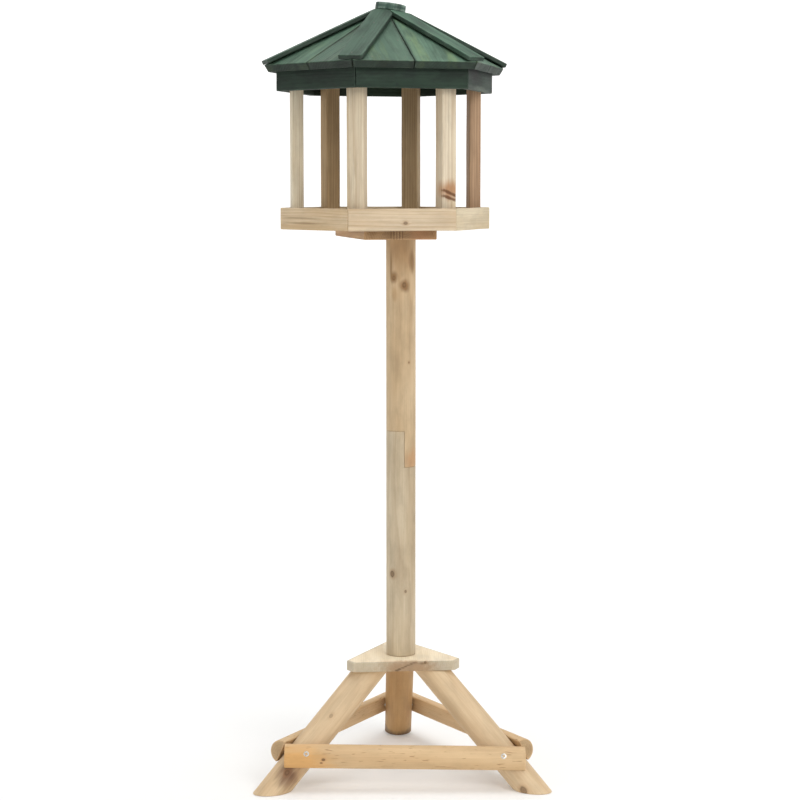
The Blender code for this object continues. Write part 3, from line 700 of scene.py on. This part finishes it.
class FEEDER_OT_crossbars(Operator):
    """Makes the three half-round crossbars, dimpled where their screws sit"""

    bl_idname = "feeder.crossbars"
    bl_label = "Crossbars"

    def execute(self, context):
        sizes = context.scene.feeder_sizes
        axis = middle_of("lower_pole")
        for seed, side in enumerate(("front", "left", "right"), SEEDS["crossbars"]):
            node = "crossbar_" + side
            outward = middle_of(node) - axis
            lie = lie_of(node, outward * (1, 1, 0), np.cross(UP, outward))
            screws = self.screw_places(node, lie)
            near = np.linspace(-0.0075, 0.0075, 26)
            extra = np.concatenate([(place[0] + near) / (2 * lie.half[0]) + 0.5 for place in screws])
            rows = stations(150, sizes.board_edge, 2 * lie.half[0], extra)
            outline = half_round_outline(lie.half[1], lie.half[2], sizes.board_edge)
            points = uneven(carried(lie, outline, rows), seed, sizes.unevenness)
            self.dimple(points, screws)
            pith = (0.002, lie.half[2])
            knots, streaks = self.marks() if side == "front" else ((), ())
            material = finish_named(
                "log pine", knots=in_grain(lie, pith, knots), streaks=in_grain(lie, pith, streaks),
                lean=0.010, wander=0.012, fibre=0.14, contrast=0.22, flecks=0.7,
                fleck_size=(62, 420, 420), end=0.78, dirt=0.12,
            )
            add_timber(node, lie, points, rows, material, seed, 1.10, pith)
        return {"FINISHED"}

    def screw_places(self, node, lie):
        """The middle of each screw's head, in the bar's own axes."""
        heads = [lie.into(corners_of(f"{node}_screw_{end}")) for end in ("left", "right")]
        return [head[head[:, 2] > head[:, 2].max() - 0.0001].mean(axis=0) for head in heads]

    def dimple(self, points, screws):
        """Presses the bar flat round each head: the depth above the head falls away inside a circle."""
        below, reach, slope = 0.0004, 0.0062, 0.0012
        for place in screws:
            apart = np.hypot(points[..., 0] - place[0], points[..., 1] - place[1])
            sink = np.clip((reach - apart) / slope, 0, 1)
            points[..., 2] -= np.maximum(points[..., 2] - (place[2] - below), 0) * sink

    def marks(self):
        """The two small knots, the warmer left end, and a warmer tone with painted shade along the lower
        edge of the front bar.
        """
        knots = [((-0.1208, -0.1688, 0.0544), 0.0020, 0.8), ((-0.1239, -0.1680, 0.0491), 0.0015, 0.7)]
        streaks = [
            ((-0.165, -0.165, 0.045), (0.070, 0.04, 0.04), (0.66, 0.35, 0.11), 0.75),
            # Darker and warmer along the lower edge: a warmer tone with painted shade.
            ((0, -0.165, 0.027), (0.30, 0.012, 0.012), (0.56, 0.33, 0.14), 0.6),
        ]
        return knots, streaks


class FEEDER_OT_plate(Operator):
    """Makes the triangular plate with sawn-off corners"""

    bl_idname = "feeder.plate"
    bl_label = "Plate"

    def execute(self, context):
        sizes = context.scene.feeder_sizes
        node = "tripod_plate"
        upright = Lie((0, 0, 0), (UP, (1, 0, 0), (0, 1, 0)), (0, 0, 0)).grown(corners_of(node))
        outline = self.rounded(self.corners(node, upright), sizes.plate_corner)
        rows = stations(8, sizes.board_edge, 2 * upright.half[0])
        placed = upright.out(carried(upright, outline, rows))
        flat = Lie(upright.middle, ((0, 1, 0), (-1, 0, 0), UP), upright.half[[2, 1, 0]])
        pith = (0.14, 0.012)
        knots = [((0.0364, -0.0925, 0.1860), 0.0020, 0.9)]
        material = finish_named(
            "plate pine", knots=in_grain(flat, pith, knots), streaks=in_grain(flat, pith, self.marks()),
            fibre=0.10, ring=0.003, end=0.63, contrast=0.16, tint=(1.34, 1.42, 1.50),
        )
        # The closing rows are the plate's two faces, so all the others are its sawn sides.
        rows = (*rows[:3], (rows[3] < 1).astype(float))
        add_timber(node, flat, flat.into(placed), rows, material, SEEDS["plate"], 1.0, pith)
        return {"FINISHED"}

    def marks(self):
        """The stain on the front edge and the dark stroke that climbs across it, fading as it goes."""
        dark, warm = (0.16, 0.085, 0.040), (0.62, 0.38, 0.20)
        marks = [((0.012, -0.0931, 0.178), (0.014, 0.060, 0.02), warm, 0.85)]
        for share in np.linspace(0, 1, 7):
            place = np.array((-0.0075, -0.0931, 0.1742)) + share * np.array((0.0270, 0, 0.0118))
            marks.append((place, (0.007, 0.0044, 0.0018), dark, 0.75 - 0.35 * share))
        return [*marks, ((0.032, -0.0931, 0.1845), (0.010, 0.0100, 0.0025), dark, 0.5)]

    def corners(self, node, upright):
        """Where neighbouring sides meet: each side is the line square to one of the six largest upright
        faces, and a corner solves two such lines at once."""
        normals, areas = faces_of(node)
        walls = np.abs(normals[:, 2]) < 0.01
        sides = np.round(upright.axes @ normals.T, 3).T[walls][:, 1:]
        kinds, which = np.unique(sides, axis=0, return_inverse=True)
        weight = np.bincount(which.ravel(), areas[walls])
        kinds = kinds[np.argsort(weight)[-6:]]
        kinds = kinds[np.argsort(np.arctan2(kinds[:, 1], kinds[:, 0]))]
        reach = (upright.into(corners_of(node))[:, 1:] @ kinds.T).max(axis=0)
        pairs = [([kinds[k], kinds[(k + 1) % 6]], [reach[k], reach[(k + 1) % 6]]) for k in range(6)]
        return np.array([np.linalg.solve(np.array(lines), np.array(far)) for lines, far in pairs])

    def rounded(self, corners, radius, turns=5, spans=14):
        """Straight sides with each corner replaced by a curve: a point slides from one side to the next
        along the two tangents at once."""
        pieces = []
        count = len(corners)
        t = np.linspace(0, 1, turns)[:, None]
        share = np.concatenate(([0.02], np.linspace(0, 1, spans)[1:-1], [0.98]))[:, None]
        for k in range(count):
            here, before, after = corners[k], corners[k - 1], corners[(k + 1) % count]
            start = here + unit(before - here) * radius
            end = here + unit(after - here) * radius
            pieces.append((1 - t) ** 2 * start + 2 * t * (1 - t) * here + t**2 * end)
            following = after + unit(here - after) * radius
            pieces.append(end * (1 - share) + following * share)
        return np.concatenate(pieces)


class FEEDER_OT_pole(Operator):
    """Makes the two round sticks of the pole, halved into each other where they meet"""

    bl_idname = "feeder.pole"
    bl_label = "Pole"

    def execute(self, context):
        sizes = context.scene.feeder_sizes
        pith = (0.007, 0.005)
        lap_low, lap_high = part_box("upper_pole")[0][2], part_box("lower_pole")[1][2]
        sticks = (("lower_pole", lap_low, -1), ("upper_pole", lap_high, 1))
        for seed, (node, shoulder, side) in enumerate(sticks, SEEDS["pole"]):
            lie = lie_of(node, (1, 0, 0), UP)
            length = 2 * lie.half[0]
            shoulder_at = (shoulder - lie.middle[2]) / length + 0.5
            step = 0.00002 / length
            rows = stations(120, sizes.log_edge, length, (shoulder_at - step, shoulder_at + step))
            outline = np.repeat(round_outline(lie.half[1])[None], rows[0].size, axis=0)
            in_lap = (rows[0] - shoulder_at) * side < 0
            flat = side * np.maximum(side * outline[..., 1], sizes.lap_gap / 2)
            outline[..., 1] = np.where(in_lap[:, None], flat, outline[..., 1])
            points = uneven(carried(lie, outline, rows), seed, sizes.unevenness * 0.5, 6.0)
            knots, streaks, tint = self.marks(node)
            material = finish_named(
                "pole pine", knots=in_grain(lie, pith, knots), streaks=in_grain(lie, pith, streaks),
                tint=tint, lean=0.014, wander=0.014, contrast=0.26, fibre=0.17, dirt=0.16, patch=0.75,
                core=(0.35, 0.75),
            )
            add_timber(node, lie, points, rows, material, seed, pith=pith)
        return {"FINISHED"}

    def marks(self, node):
        """The knots, the darker marks and the tint of each stick."""
        if node == "lower_pole":
            knots = [((-0.0135, -0.0551, 0.3187), 0.0042, 0.75), ((0.0067, -0.0584, 0.2915), 0.0022, 0.6)]
            return knots, (), (1.07, 1.27, 1.58)
        knots = [
            ((-0.0105, -0.0565, 0.7811), 0.0030, 0.5),
            ((0.0043, -0.0590, 0.7705), 0.0034, 0.6),
            ((0.0116, -0.0562, 0.6506), 0.0014, 0.8),
        ]
        tan, brown = (0.50, 0.31, 0.15), (0.26, 0.14, 0.055)
        darker_marks = [
            # A broad darker, warmer band at the top of the upper stick, just under the tray.
            ((0.0, -0.0590, 0.8300), (0.060, 0.03, 0.03), tan, 0.75),
            ((-0.0150, -0.0540, 0.8000), (0.026, 0.0024, 0.01), brown, 0.6),
            ((-0.0105, -0.0565, 0.7830), (0.011, 0.0072, 0.01), brown, 0.8),
            ((0.0160, -0.0530, 0.8060), (0.020, 0.0050, 0.01), brown, 0.75),
            ((0.0052, -0.0590, 0.7690), (0.012, 0.0088, 0.01), brown, 0.9),
            ((-0.0090, -0.0570, 0.7560), (0.014, 0.0045, 0.01), tan, 0.6),
            ((0.0170, -0.0520, 0.4980), (0.024, 0.0180, 0.02), (0.52, 0.27, 0.12), 0.65),
        ]
        return knots, darker_marks, (1.16, 1.26, 1.40)


def mitre_planes(centre, outward, along, gap):
    """The two upright saw cuts that meet the neighbours' at the ring's middle, 30 degrees either way."""
    across = math.cos(HEX_HALF) * along
    back = math.sin(HEX_HALF) * outward
    return tuple([(centre - normal * gap / 2, normal)] for normal in (-across - back, across - back))


def add_ring(prefix, finish, tones, seed, looks, tight=1.0):
    """Six boards on edge round a hexagon, mitred at the corners. looks gives each board's own knots,
    streaks and options. The saw cuts are the usual gap times tight."""
    sizes = bpy.context.scene.feeder_sizes
    centre = middle_of(*(f"{prefix}_{k}" for k in RING))
    for k in RING:
        node = f"{prefix}_{k}"
        outward = unit((middle_of(node) - centre) * (1, 1, 0))
        along = np.cross(UP, outward)
        lie = lie_of(node, outward, along)
        planes = mitre_planes(centre, outward, along, sizes.mitre * tight)
        points, rows = board(lie, seed + k, planes, count=40)
        pith = (0.035 + 0.01 * (k % 3), 0.02 + 0.008 * (k % 2))
        knots, streaks, options = looks(k)
        material = finish_named(
            finish, knots=in_grain(lie, pith, knots), streaks=in_grain(lie, pith, streaks), **options
        )
        add_timber(node, lie, points, rows, material, seed + k, tones[k - 1], pith)


class FEEDER_OT_rim(Operator):
    """Makes the six mitred boards round the tray"""

    bl_idname = "feeder.rim"
    bl_label = "Tray rim"

    def execute(self, context):
        tones = (1.0, 1.0, 0.97, 0.95, 0.95, 0.86)
        add_ring("tray_rim", "pale pine", tones, SEEDS["rim"], self.looks)
        return {"FINISHED"}

    def looks(self, k):
        if k == 1:
            knots = [((0.0038, -0.1763, 0.8677), 0.0027, 0.6)]
            return knots, (), {"tint": (0.93, 0.95, 0.98), "wander": 0.009, "lean": 0.008}
        if k == 6:
            streaks = [
                ((-0.1500, -0.1050, height), (0.055, 0.0022, 0.01), (0.34, 0.21, 0.10), 0.6)
                for height in (0.8739, 0.8660)
            ]
            return (), streaks, {"patch": 0.9, "tint": (1.10, 1.11, 1.09), "wander": 0.010}
        return (), (), {"tint": (0.93, 1.0, 1.03), "wander": 0.008, "contrast": 0.25}


class FEEDER_OT_floor(Operator):
    """Makes the three planks of the tray's floor"""

    bl_idname = "feeder.floor"
    bl_label = "Tray floor"

    def execute(self, context):
        for seed, node in enumerate(("floor_plank_1", "floor_plank_2", "floor_plank_3"), SEEDS["floor"]):
            lie = lie_of(node, UP, (1, 0, 0))
            local = lie.into(corners_of(node))
            points, rows = board(lie, seed, spans=(20, 4), swell=0.0)
            shoulder = local[np.abs(local[:, 0]) > lie.half[0] - 0.0012][:, 1].mean()
            draw = np.abs(points[..., 1] - shoulder) * math.tan(HEX_HALF)
            points[..., 0] *= (lie.half[0] - draw) / lie.half[0]
            add_timber(node, lie, points, rows, finish_named("pale pine"), seed, 0.97)
        return {"FINISHED"}


class FEEDER_OT_cleat(Operator):
    """Makes the thick cleat that joins the tray to the pole"""

    bl_idname = "feeder.cleat"
    bl_label = "Support cleat"

    def execute(self, context):
        seed, pith = SEEDS["cleat"], (0.004, 0.016)
        lie = lie_of("support_cleat", UP, (0, 1, 0))
        points, rows = board(lie, seed, count=50, spans=(16, 4))
        dark, red = (0.09, 0.045, 0.022), (0.46, 0.23, 0.11)
        marks = [((0.0280, -0.1600, 0.8505), (0.020, 0.024, 0.03), red, 0.6)]
        for x in (-0.018, -0.0135, -0.009, -0.0045, 0.0):
            marks.append(((x, -0.1600, 0.8500), (0.012, 0.0011, 0.012), dark, 0.7))
        material = finish_named(
            "brown pine", streaks=in_grain(lie, pith, marks), ring=0.0024, contrast=0.8, wander=0.003,
            tint=(1.22, 1.20, 1.04),
        )
        add_timber("support_cleat", lie, points, rows, material, seed, 1.35, pith)
        return {"FINISHED"}


class FEEDER_OT_posts(Operator):
    """Makes the six posts between the tray and the roof"""

    bl_idname = "feeder.posts"
    bl_label = "Posts"

    def execute(self, context):
        sizes = context.scene.feeder_sizes
        centre = middle_of(*(f"tray_rim_{k}" for k in RING))
        timbers = {
            "front_left": ("pale pine", (0.96, 1.05, 1.15)),
            "front_right": ("pale pine", (1.02, 1.13, 1.28)),
            "left": ("pale pine", (1.03, 1.18, 1.34)),
            "right": ("brown pine", (1.55, 1.60, 1.72)),
            "rear_left": ("brown pine", (1.55, 1.72, 1.65)),
            "rear_right": ("brown pine", (1.50, 1.74, 1.76)),
        }
        for seed, (where, (finish, tint)) in enumerate(timbers.items(), SEEDS["posts"]):
            node = "post_" + where
            lie = lie_of(node, (middle_of(node) - centre) * (1, 1, 0), UP)
            points, rows = board(lie, seed, count=80, spans=(8, 5), edge=sizes.post_edge, turns=6)
            pith = (0.012 + 0.006 * (seed % 3), 0.030 + 0.006 * (seed % 2))
            streaks = self.scars(lie, pith) if where == "front_right" else ()
            material = finish_named(
                finish, streaks=streaks, ring=0.0030, wander=0.006, contrast=0.55, fibre=0.3, tint=tint
            )
            add_timber(node, lie, points, rows, material, seed, 1.0, pith)
        return {"FINISHED"}

    def scars(self, lie, pith):
        """Two brown strokes that fall from one edge of the face to the other, and a stain under them:
        short marks set along a straight line."""
        brown, stain = (0.17, 0.070, 0.028), (0.46, 0.23, 0.105)
        across = lie.half[1] * 0.8
        level = lie.into((0, 0, 0.9135))[0]
        marks = [((level + 0.003, 0.0, lie.half[2]), (0.0170, 0.0260, 0.016), stain, 0.9)]
        for start, end, strength in ((0.0022, -0.0058, 0.95), (-0.0062, -0.0125, 0.85)):
            for share in np.linspace(0, 1, 7):
                place = (level + start + (end - start) * share, across * (1 - 2 * share), lie.half[2])
                marks.append((place, (0.0030, 0.0050, 0.006), brown, strength))
        return [(tuple(np.array(place) + (0, *pith)), *rest) for place, *rest in marks]


class FEEDER_OT_fascia(Operator):
    """Makes the six mitred boards under the eave"""

    bl_idname = "feeder.fascia"
    bl_label = "Fascia"

    def execute(self, context):
        # The second board's lower tone is partly painted shade.
        tones = (1.0, 0.80, 1.0, 1.0, 1.0, 0.85)
        add_ring("fascia_board", "trim stain", tones, SEEDS["fascia"], self.looks, 0.08)
        return {"FINISHED"}

    def looks(self, k):
        shade, bare, cloudy = (0.010, 0.022, 0.016), (0.15, 0.185, 0.145), (0.05, 0.075, 0.055)
        streaks = {
            1: [
                ((-0.0090, -0.1860, 1.0700), (0.0030, 0.0030, 0.01), shade, 0.9),
                ((0.0080, -0.1810, 1.0860), (0.016, 0.010, 0.02), shade, 0.5),
            ],
            2: [
                ((0.1350, -0.0200, 1.0800), (0.060, 0.0240, 0.03), cloudy, 0.7),
                ((0.1130, -0.0950, 1.0650), (0.110, 0.0080, 0.03), bare, 0.75),
                # A near-black patch near the second board's left end: painted shadow of the batten above it.
                ((0.1080, -0.1180, 1.0880), (0.050, 0.0150, 0.03), (0.002, 0.005, 0.003), 1.0),
            ],
        }
        worn = ((0.09, 0.13, 0.10), 0.45, 0.0022)
        options = {"worn": worn, "dirt": 0.55, "bump": STAIN_BUMP, "tint": (0.40, 0.52, 0.38)}
        return (), streaks.get(k, ()), options


class FEEDER_OT_roof_boards(Operator):
    """Makes the twelve tapered boards of the roof, two to a facet"""

    bl_idname = "feeder.roof_boards"
    bl_label = "Roof boards"

    def execute(self, context):
        sizes = context.scene.feeder_sizes
        tones = ((0.76, 0.98), (0.92, 0.85), (0.9, 0.8), (0.85, 0.95), (0.8, 0.9), (0.88, 0.68))
        for number in RING:
            for letter, tone in zip("ab", tones[number - 1]):
                node = f"roof_board_{number}{letter}"
                seed = SEEDS["roof boards"] + 2 * number + (letter == "b")
                lie = lie_of(node, UP, UP, exact=True)
                local = lie.into(corners_of(node))
                top = local[local[:, 0] > lie.half[0] - 0.002][:, 1].mean()
                seam = -1 if abs(top + lie.half[1]) < abs(top - lie.half[1]) else 1
                points, rows = board(lie, seed, count=70, spans=(18, 4))
                self.taper(points, lie, seam, sizes)
                pith = (0.03 + 0.005 * (number % 3), 0.045)
                rubbed = 0.6 if node == "roof_board_1a" else 0.15
                material = finish_named(
                    "roof stain", worn=((0.20, 0.28, 0.19), rubbed, 0.003),
                    blush=((0.155, 0.240, 0.110), 0.75), dirt=0.4, contrast=0.5, bump=STAIN_BUMP, end=0.24,
                    wander=0.008, tint=(0.90, 1.04, 0.97), streaks=self.seam_shade(lie, seam, pith),
                )
                add_timber(node, lie, points, rows, material, seed, tone, pith, 0.001)
        return {"FINISHED"}

    def taper(self, points, lie, seam, sizes):
        """Narrows the board from its full width at the eave to its tip, its straight edge kept on the
        facet's seam, and bevels the sawn edge."""
        full = 2 * lie.half[1]
        up = points[..., 0] / (2 * lie.half[0]) + 0.5
        share = (points[..., 1] - seam * lie.half[1]) / full
        points[..., 1] = seam * lie.half[1] + share * (full + (sizes.tip - full) * up)
        points[..., 1] -= seam * self.hip_bevel(sizes, lie, share, points[..., 2])

    def seam_shade(self, lie, seam, pith):
        """Painted shade in the joint of a facet's two boards: one long thin dark mark along the straight
        edge.
        """
        edge = (0.0, seam * lie.half[1] + pith[0], lie.half[2] + pith[1])
        # The mark paints the shade of the gap between the two boards.
        return [(edge, (1.6 * lie.half[0], 0.0036, 0.01), (0.006, 0.026, 0.014), 0.95)]

    def hip_bevel(self, sizes, lie, share, depth):
        """How far a board's sawn edge reaches under the batten: nothing at its lower face and all of the
        bevel at the upper one, less a small chamfer that clears the batten."""
        up = np.clip(depth / lie.half[2], -1, 1) / 2 + 0.5
        chamfer = sizes.hip_chamfer + (1 - up) * 2 * lie.half[2] * 4
        reach = np.minimum(sizes.hip_bevel * up, chamfer)
        return reach * np.clip((np.abs(share) - 0.8) * 5, 0, 1)


class FEEDER_OT_battens(Operator):
    """Makes the six battens over the hips, mitred together under the cap"""

    bl_idname = "feeder.battens"
    bl_label = "Hip battens"

    def execute(self, context):
        sizes = context.scene.feeder_sizes
        centre = middle_of(*(f"fascia_board_{k}" for k in RING))
        cap = lie_of("roof_cap", UP, (1, 0, 0), exact=True)
        seat = cap.middle - cap.axes[2] * (cap.half[2] + sizes.lap_gap)
        for k, tone in zip(RING, (1.30, 1.0, 1.05, 0.95, 0.95, 0.86)):
            node = f"hip_batten_{k}"
            seed = SEEDS["battens"] + k
            outward = unit((middle_of(node) - centre) * (1, 1, 0))
            lie = lie_of(node, UP, -outward, exact=True)
            one, other = mitre_planes(centre, outward, np.cross(UP, outward), sizes.mitre)
            foot = lie.middle - lie.axes[0] * lie.half[0]
            planes = ([(foot, -lie.axes[0])], [*one, *other, (seat, cap.axes[2])])
            points, rows = board(lie, seed, planes, count=80, spans=(10, 4), swell=0.6, end=0.8)
            material = finish_named(
                "trim stain", worn=((0.15, 0.21, 0.16), 0.4, 0.004), dirt=0.5, bump=STAIN_BUMP,
                tint=(1.25, 1.42, 1.18), end=0.45,
            )
            add_timber(node, lie, points, rows, material, seed, tone, skirt=0.001)
        return {"FINISHED"}


class FEEDER_OT_cap(Operator):
    """Makes the round cap on top of the roof"""

    bl_idname = "feeder.cap"
    bl_label = "Cap"

    def execute(self, context):
        sizes = context.scene.feeder_sizes
        seed, pith = SEEDS["cap"], (0.003, 0.002)
        lie = lie_of("roof_cap", UP, (1, 0, 0), exact=True)
        upright = Lie(lie.middle, (lie.axes[2], lie.axes[0], lie.axes[1]), lie.half[[2, 0, 1]])
        rows = stations(14, sizes.log_edge, 2 * upright.half[0])
        outline = round_outline(upright.half[1], 96)
        points = uneven(carried(upright, outline, rows), seed, sizes.unevenness)
        worn = ((0.24, 0.31, 0.26), 0.6, 0.006)
        material = finish_named("trim stain", worn=worn, dirt=0.6, patch=0.9, ring=0.0025, end=1.1)
        add_timber("roof_cap", upright, points, rows, material, seed, 1.9, pith)
        return {"FINISHED"}


def turned_profile(radius, height, turn):
    """Points of a profile turned about an axis: rows of (across, other, height)."""
    across, other = radius[:, None] * np.cos(turn), radius[:, None] * np.sin(turn)
    return np.stack(np.broadcast_arrays(across, other, height), axis=-1)


def axes_about(axis):
    """Two directions square to an axis, and the axis."""
    side = unit(np.cross(axis, SKEW))
    return np.array((side, np.cross(axis, side), axis))


class FEEDER_OT_screws(Operator):
    """Makes the countersunk screws with their cross recesses"""

    bl_idname = "feeder.screws"
    bl_label = "Screws"

    def execute(self, context):
        material = zinc_finish()
        for node in sorted(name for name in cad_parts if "screw" in name):
            self.add(node, material, context.scene.feeder_sizes)
        return {"FINISHED"}

    def add(self, node, material, sizes):
        """Turns a profile of (radius, depth) about the screw's axis: a slightly domed head with a rounded
        rim, a cone and a shank. Then sinks the cross into the head."""
        normals, areas = faces_of(node)
        weight = ((normals @ normals.T) > 0.999) @ areas
        axes = axes_about(unit(normals[weight.argmax()]))
        lie = Lie((0, 0, 0), axes, (0, 0, 0)).grown(corners_of(node))
        head, length = lie.half[0], 2 * lie.half[2]
        shank = head * 0.49
        top = np.linspace(0.02, 0.93, 26)
        rim = np.array((0.975, 1.0, 1.0, 0.97))
        rim_fall = (0.00024, 0.00042, 0.0006, 0.0009)
        cone_end = rim_fall[-1] + head - shank
        radius = np.concatenate((top * head, rim * head, (shank, shank, 0.0006)))
        fall = np.concatenate((
            0.00018 * top**2, rim_fall, (cone_end, length - shank, length - 0.0001),
        ))
        turn = np.linspace(0, math.tau, 96, endpoint=False)
        local = turned_profile(radius, lie.half[2] - fall[:, None], turn)
        sink = self.cross(local[..., 0], local[..., 1], sizes)
        sink[top.size:] = 0
        local[..., 2] -= sink
        mesh = solid(node + "_zinc", lie.out(local[::-1]))
        # The recess depth is stored so the finish can paint shade into the recess.
        keep(mesh, "sink", "FLOAT", np.clip(sink / sizes.recess_depth * 2, 0, 1)[::-1])
        add_piece(node + "_zinc", mesh, material, node)

    def cross(self, across, other, sizes):
        """The recess is deepest where the nearest arm's middle line is close, grows a little shallower
        away from the middle and ends at the arm's length."""
        reach = np.hypot(across, other)
        arm = np.minimum(np.abs(across), np.abs(other))
        wide = sizes.recess_width / 2
        sides = np.clip((wide * 1.25 - arm) / (wide * 0.5), 0, 1)
        ends = np.clip((sizes.recess_reach - reach) / 0.0005, 0, 1)
        return np.maximum(sizes.recess_depth * sides * ends * (1 - 0.45 * reach / sizes.recess_reach), 0)


class FEEDER_OT_nails(Operator):
    """Makes the small nails of the roof boards and the battens"""

    bl_idname = "feeder.nails"
    bl_label = "Nails"

    def execute(self, context):
        steel = steel_finish()
        roof = middle_of(*(f"fascia_board_{k}" for k in RING))
        along_batten = ((-0.9, 0.0), (-0.3, 0.0), (0.3, 0.0))
        on_board = ((-0.86, 0.75), (-0.86, -0.35), (-0.2, 0.8))
        places = []
        for k in RING:
            outward = unit((middle_of(f"hip_batten_{k}") - roof) * (1, 1, 0))
            places += self.places(lie_of(f"hip_batten_{k}", UP, -outward, exact=True), along_batten)
        add_piece("hip_batten_nails", self.heads("hip_batten_nails", places), steel)
        places = []
        for k in RING:
            for letter, seam in (("a", 1), ("b", -1)):
                lie = lie_of(f"roof_board_{k}{letter}", UP, UP, exact=True)
                places += self.places(lie, [(along, -seam * across) for along, across in on_board])
        add_piece("roof_board_nails", self.heads("roof_board_nails", places), steel)
        return {"FINISHED"}

    def places(self, lie, shares):
        """Places on the upper face, each a share of the half length and of the half width, and the way
        that face looks."""
        return [(lie.out(lie.half * (along, across, 1)), lie.axes[2]) for along, across in shares]

    def heads(self, name, places):
        """Shallow round heads: a profile of (radius, height) turned about each place's outward axis."""
        sizes = bpy.context.scene.feeder_sizes
        radius = np.array((0.15, 0.6, 0.9, 1.0, 0.9)) * sizes.nail_head / 2
        height = np.array((0.10, 0.09, 0.05, -0.02, -0.30)) * sizes.nail_head
        ring = turned_profile(radius, height[:, None], np.linspace(0, math.tau, 12, endpoint=False))
        return joined_solids(name, [place + ring[::-1] @ axes_about(unit(way)) for place, way in places])


class FEEDER_OT_stage(Operator):
    """Sets up the pale floor, the soft lights and the camera"""

    bl_idname = "feeder.stage"
    bl_label = "Stage"

    def execute(self, context):
        stage = context.scene.feeder_stage
        self.floor()
        self.lights(stage)
        self.camera(stage)
        context.scene.view_settings.view_transform = "Standard"
        return {"FINISHED"}

    def floor(self):
        """A round sheet that runs flat, then turns up all round through a quarter circle into a wall."""
        bend, flat, wall_top, below_feet = 2.5, 5.5, 4.5, 0.0002
        turn = np.linspace(0, math.pi / 2, 24)
        reach = np.concatenate(([0.0001, 1.0, 2.5, 4.0], flat + bend * np.sin(turn), [flat + bend]))
        rise = np.concatenate(([0.0] * 4, bend - bend * np.cos(turn), [wall_top]))
        points = turned_profile(reach, rise[:, None], np.linspace(0, math.tau, 96, endpoint=False))
        quads = round_faces(*points.shape[:2])[2][:, [0, 3, 2, 1]]
        mesh = smooth_mesh("floor", points.reshape(-1, 3) - (0, 0, below_feet), quads.tolist())
        floor = bpy.data.objects.new("floor", mesh)
        bpy.context.scene.collection.objects.link(floor)
        floor.data.materials.append(self.paper())

    def paper(self):
        """White paper that glows more towards the back, in a slight cloud of two whites."""
        f = Finish("paper")
        f.shader.inputs["Specular IOR Level"].default_value = 0.1
        f.shader.inputs["Emission Color"].default_value = (1.0, 1.0, 1.0, 1.0)
        place = f.place()
        glow = f.span(f.split(place)["Y"], -1.0, 4.0, 0.08, 0.50)
        f.put(f.shader.inputs["Emission Strength"], glow)
        cloud = f.noise(place, 1.5, 3.0)
        colour = f.mix(f.span(cloud, 0.3, 0.7), (0.86, 0.86, 0.85), (0.88, 0.88, 0.875))
        return f.done(colour, 0.9, cloud, 0.0001)

    def lights(self, stage):
        world = bpy.data.worlds.new("soft sky")
        world.use_nodes = True
        sky = world.node_tree.nodes["Background"]
        sky.inputs["Color"].default_value = (1.0, 1.0, 1.0, 1.0)
        sky.inputs["Strength"].default_value = stage.sky
        bpy.context.scene.world = world
        for name, energy, size, place, aim in (
            ("key", 48.0, 1.8, (1.9, -2.9, 2.6), (0, 0, 0.6)),
            ("fill", 8.0, 2.5, (-2.7, -2.4, 1.5), (0, 0, 0.7)),
            ("top", 58.0, 2.4, (0.1, -0.4, 3.6), (0, 0, 0.6)),
            ("back", 14.0, 2.5, (-0.8, 2.6, 3.0), (0, 0, 0.9)),
        ):
            lamp = bpy.data.lights.new(name, "AREA")
            lamp.energy = energy
            lamp.size = size
            light = bpy.data.objects.new(name, lamp)
            bpy.context.scene.collection.objects.link(light)
            light.location = place
            light.rotation_euler = self.aimed(unit(np.array(aim) - np.array(place)))

    def aimed(self, direction):
        """The turn about X and then Z that points a light's own -Z along a direction."""
        return (math.acos(-direction[2]), 0.0, math.atan2(-direction[0], direction[1]))

    def camera(self, stage):
        """Stands the camera at its distance from the pole's foot, turned about it, and slides it."""
        axis_y = float(middle_of("lower_pole")[1])
        cos, sin = math.cos(stage.turn), math.sin(stage.turn)
        lens = bpy.data.cameras.new("camera")
        lens.lens = stage.lens
        lens.clip_end = 60
        camera = bpy.data.objects.new("camera", lens)
        bpy.context.scene.collection.objects.link(camera)
        camera.location = (
            -stage.slide * cos - stage.distance * sin,
            stage.slide * sin - stage.distance * cos + axis_y,
            stage.height,
        )
        camera.rotation_euler = (math.pi / 2 - stage.pitch, 0.0, -stage.turn)
        bpy.context.scene.camera = camera


OPERATORS = (
    FEEDER_OT_stage,
    FEEDER_OT_legs,
    FEEDER_OT_crossbars,
    FEEDER_OT_plate,
    FEEDER_OT_pole,
    FEEDER_OT_cleat,
    FEEDER_OT_floor,
    FEEDER_OT_rim,
    FEEDER_OT_posts,
    FEEDER_OT_fascia,
    FEEDER_OT_roof_boards,
    FEEDER_OT_battens,
    FEEDER_OT_cap,
    FEEDER_OT_screws,
    FEEDER_OT_nails,
)


class FEEDER_PT_panel(Panel):
    bl_idname = "FEEDER_PT_panel"
    bl_label = "Bird feeder"
    bl_space_type = "VIEW_3D"
    bl_region_type = "UI"
    bl_category = "Bird feeder"

    def draw(self, context):
        for operator in OPERATORS:
            self.layout.operator(operator.bl_idname)


CLASSES = (FeederSizes, FeederLooks, FeederStage, *OPERATORS, FEEDER_PT_panel)


def register():
    for cls in CLASSES:
        bpy.utils.register_class(cls)
    bpy.types.Scene.feeder_sizes = PointerProperty(type=FeederSizes)
    bpy.types.Scene.feeder_looks = PointerProperty(type=FeederLooks)
    bpy.types.Scene.feeder_stage = PointerProperty(type=FeederStage)


def unregister():
    del bpy.types.Scene.feeder_stage
    del bpy.types.Scene.feeder_looks
    del bpy.types.Scene.feeder_sizes
    for cls in reversed(CLASSES):
        bpy.utils.unregister_class(cls)


def main():
    register()
    for operator in OPERATORS:
        group, name = operator.bl_idname.split(".")
        getattr(getattr(bpy.ops, group), name)()


if __name__ == "__main__":
    main()
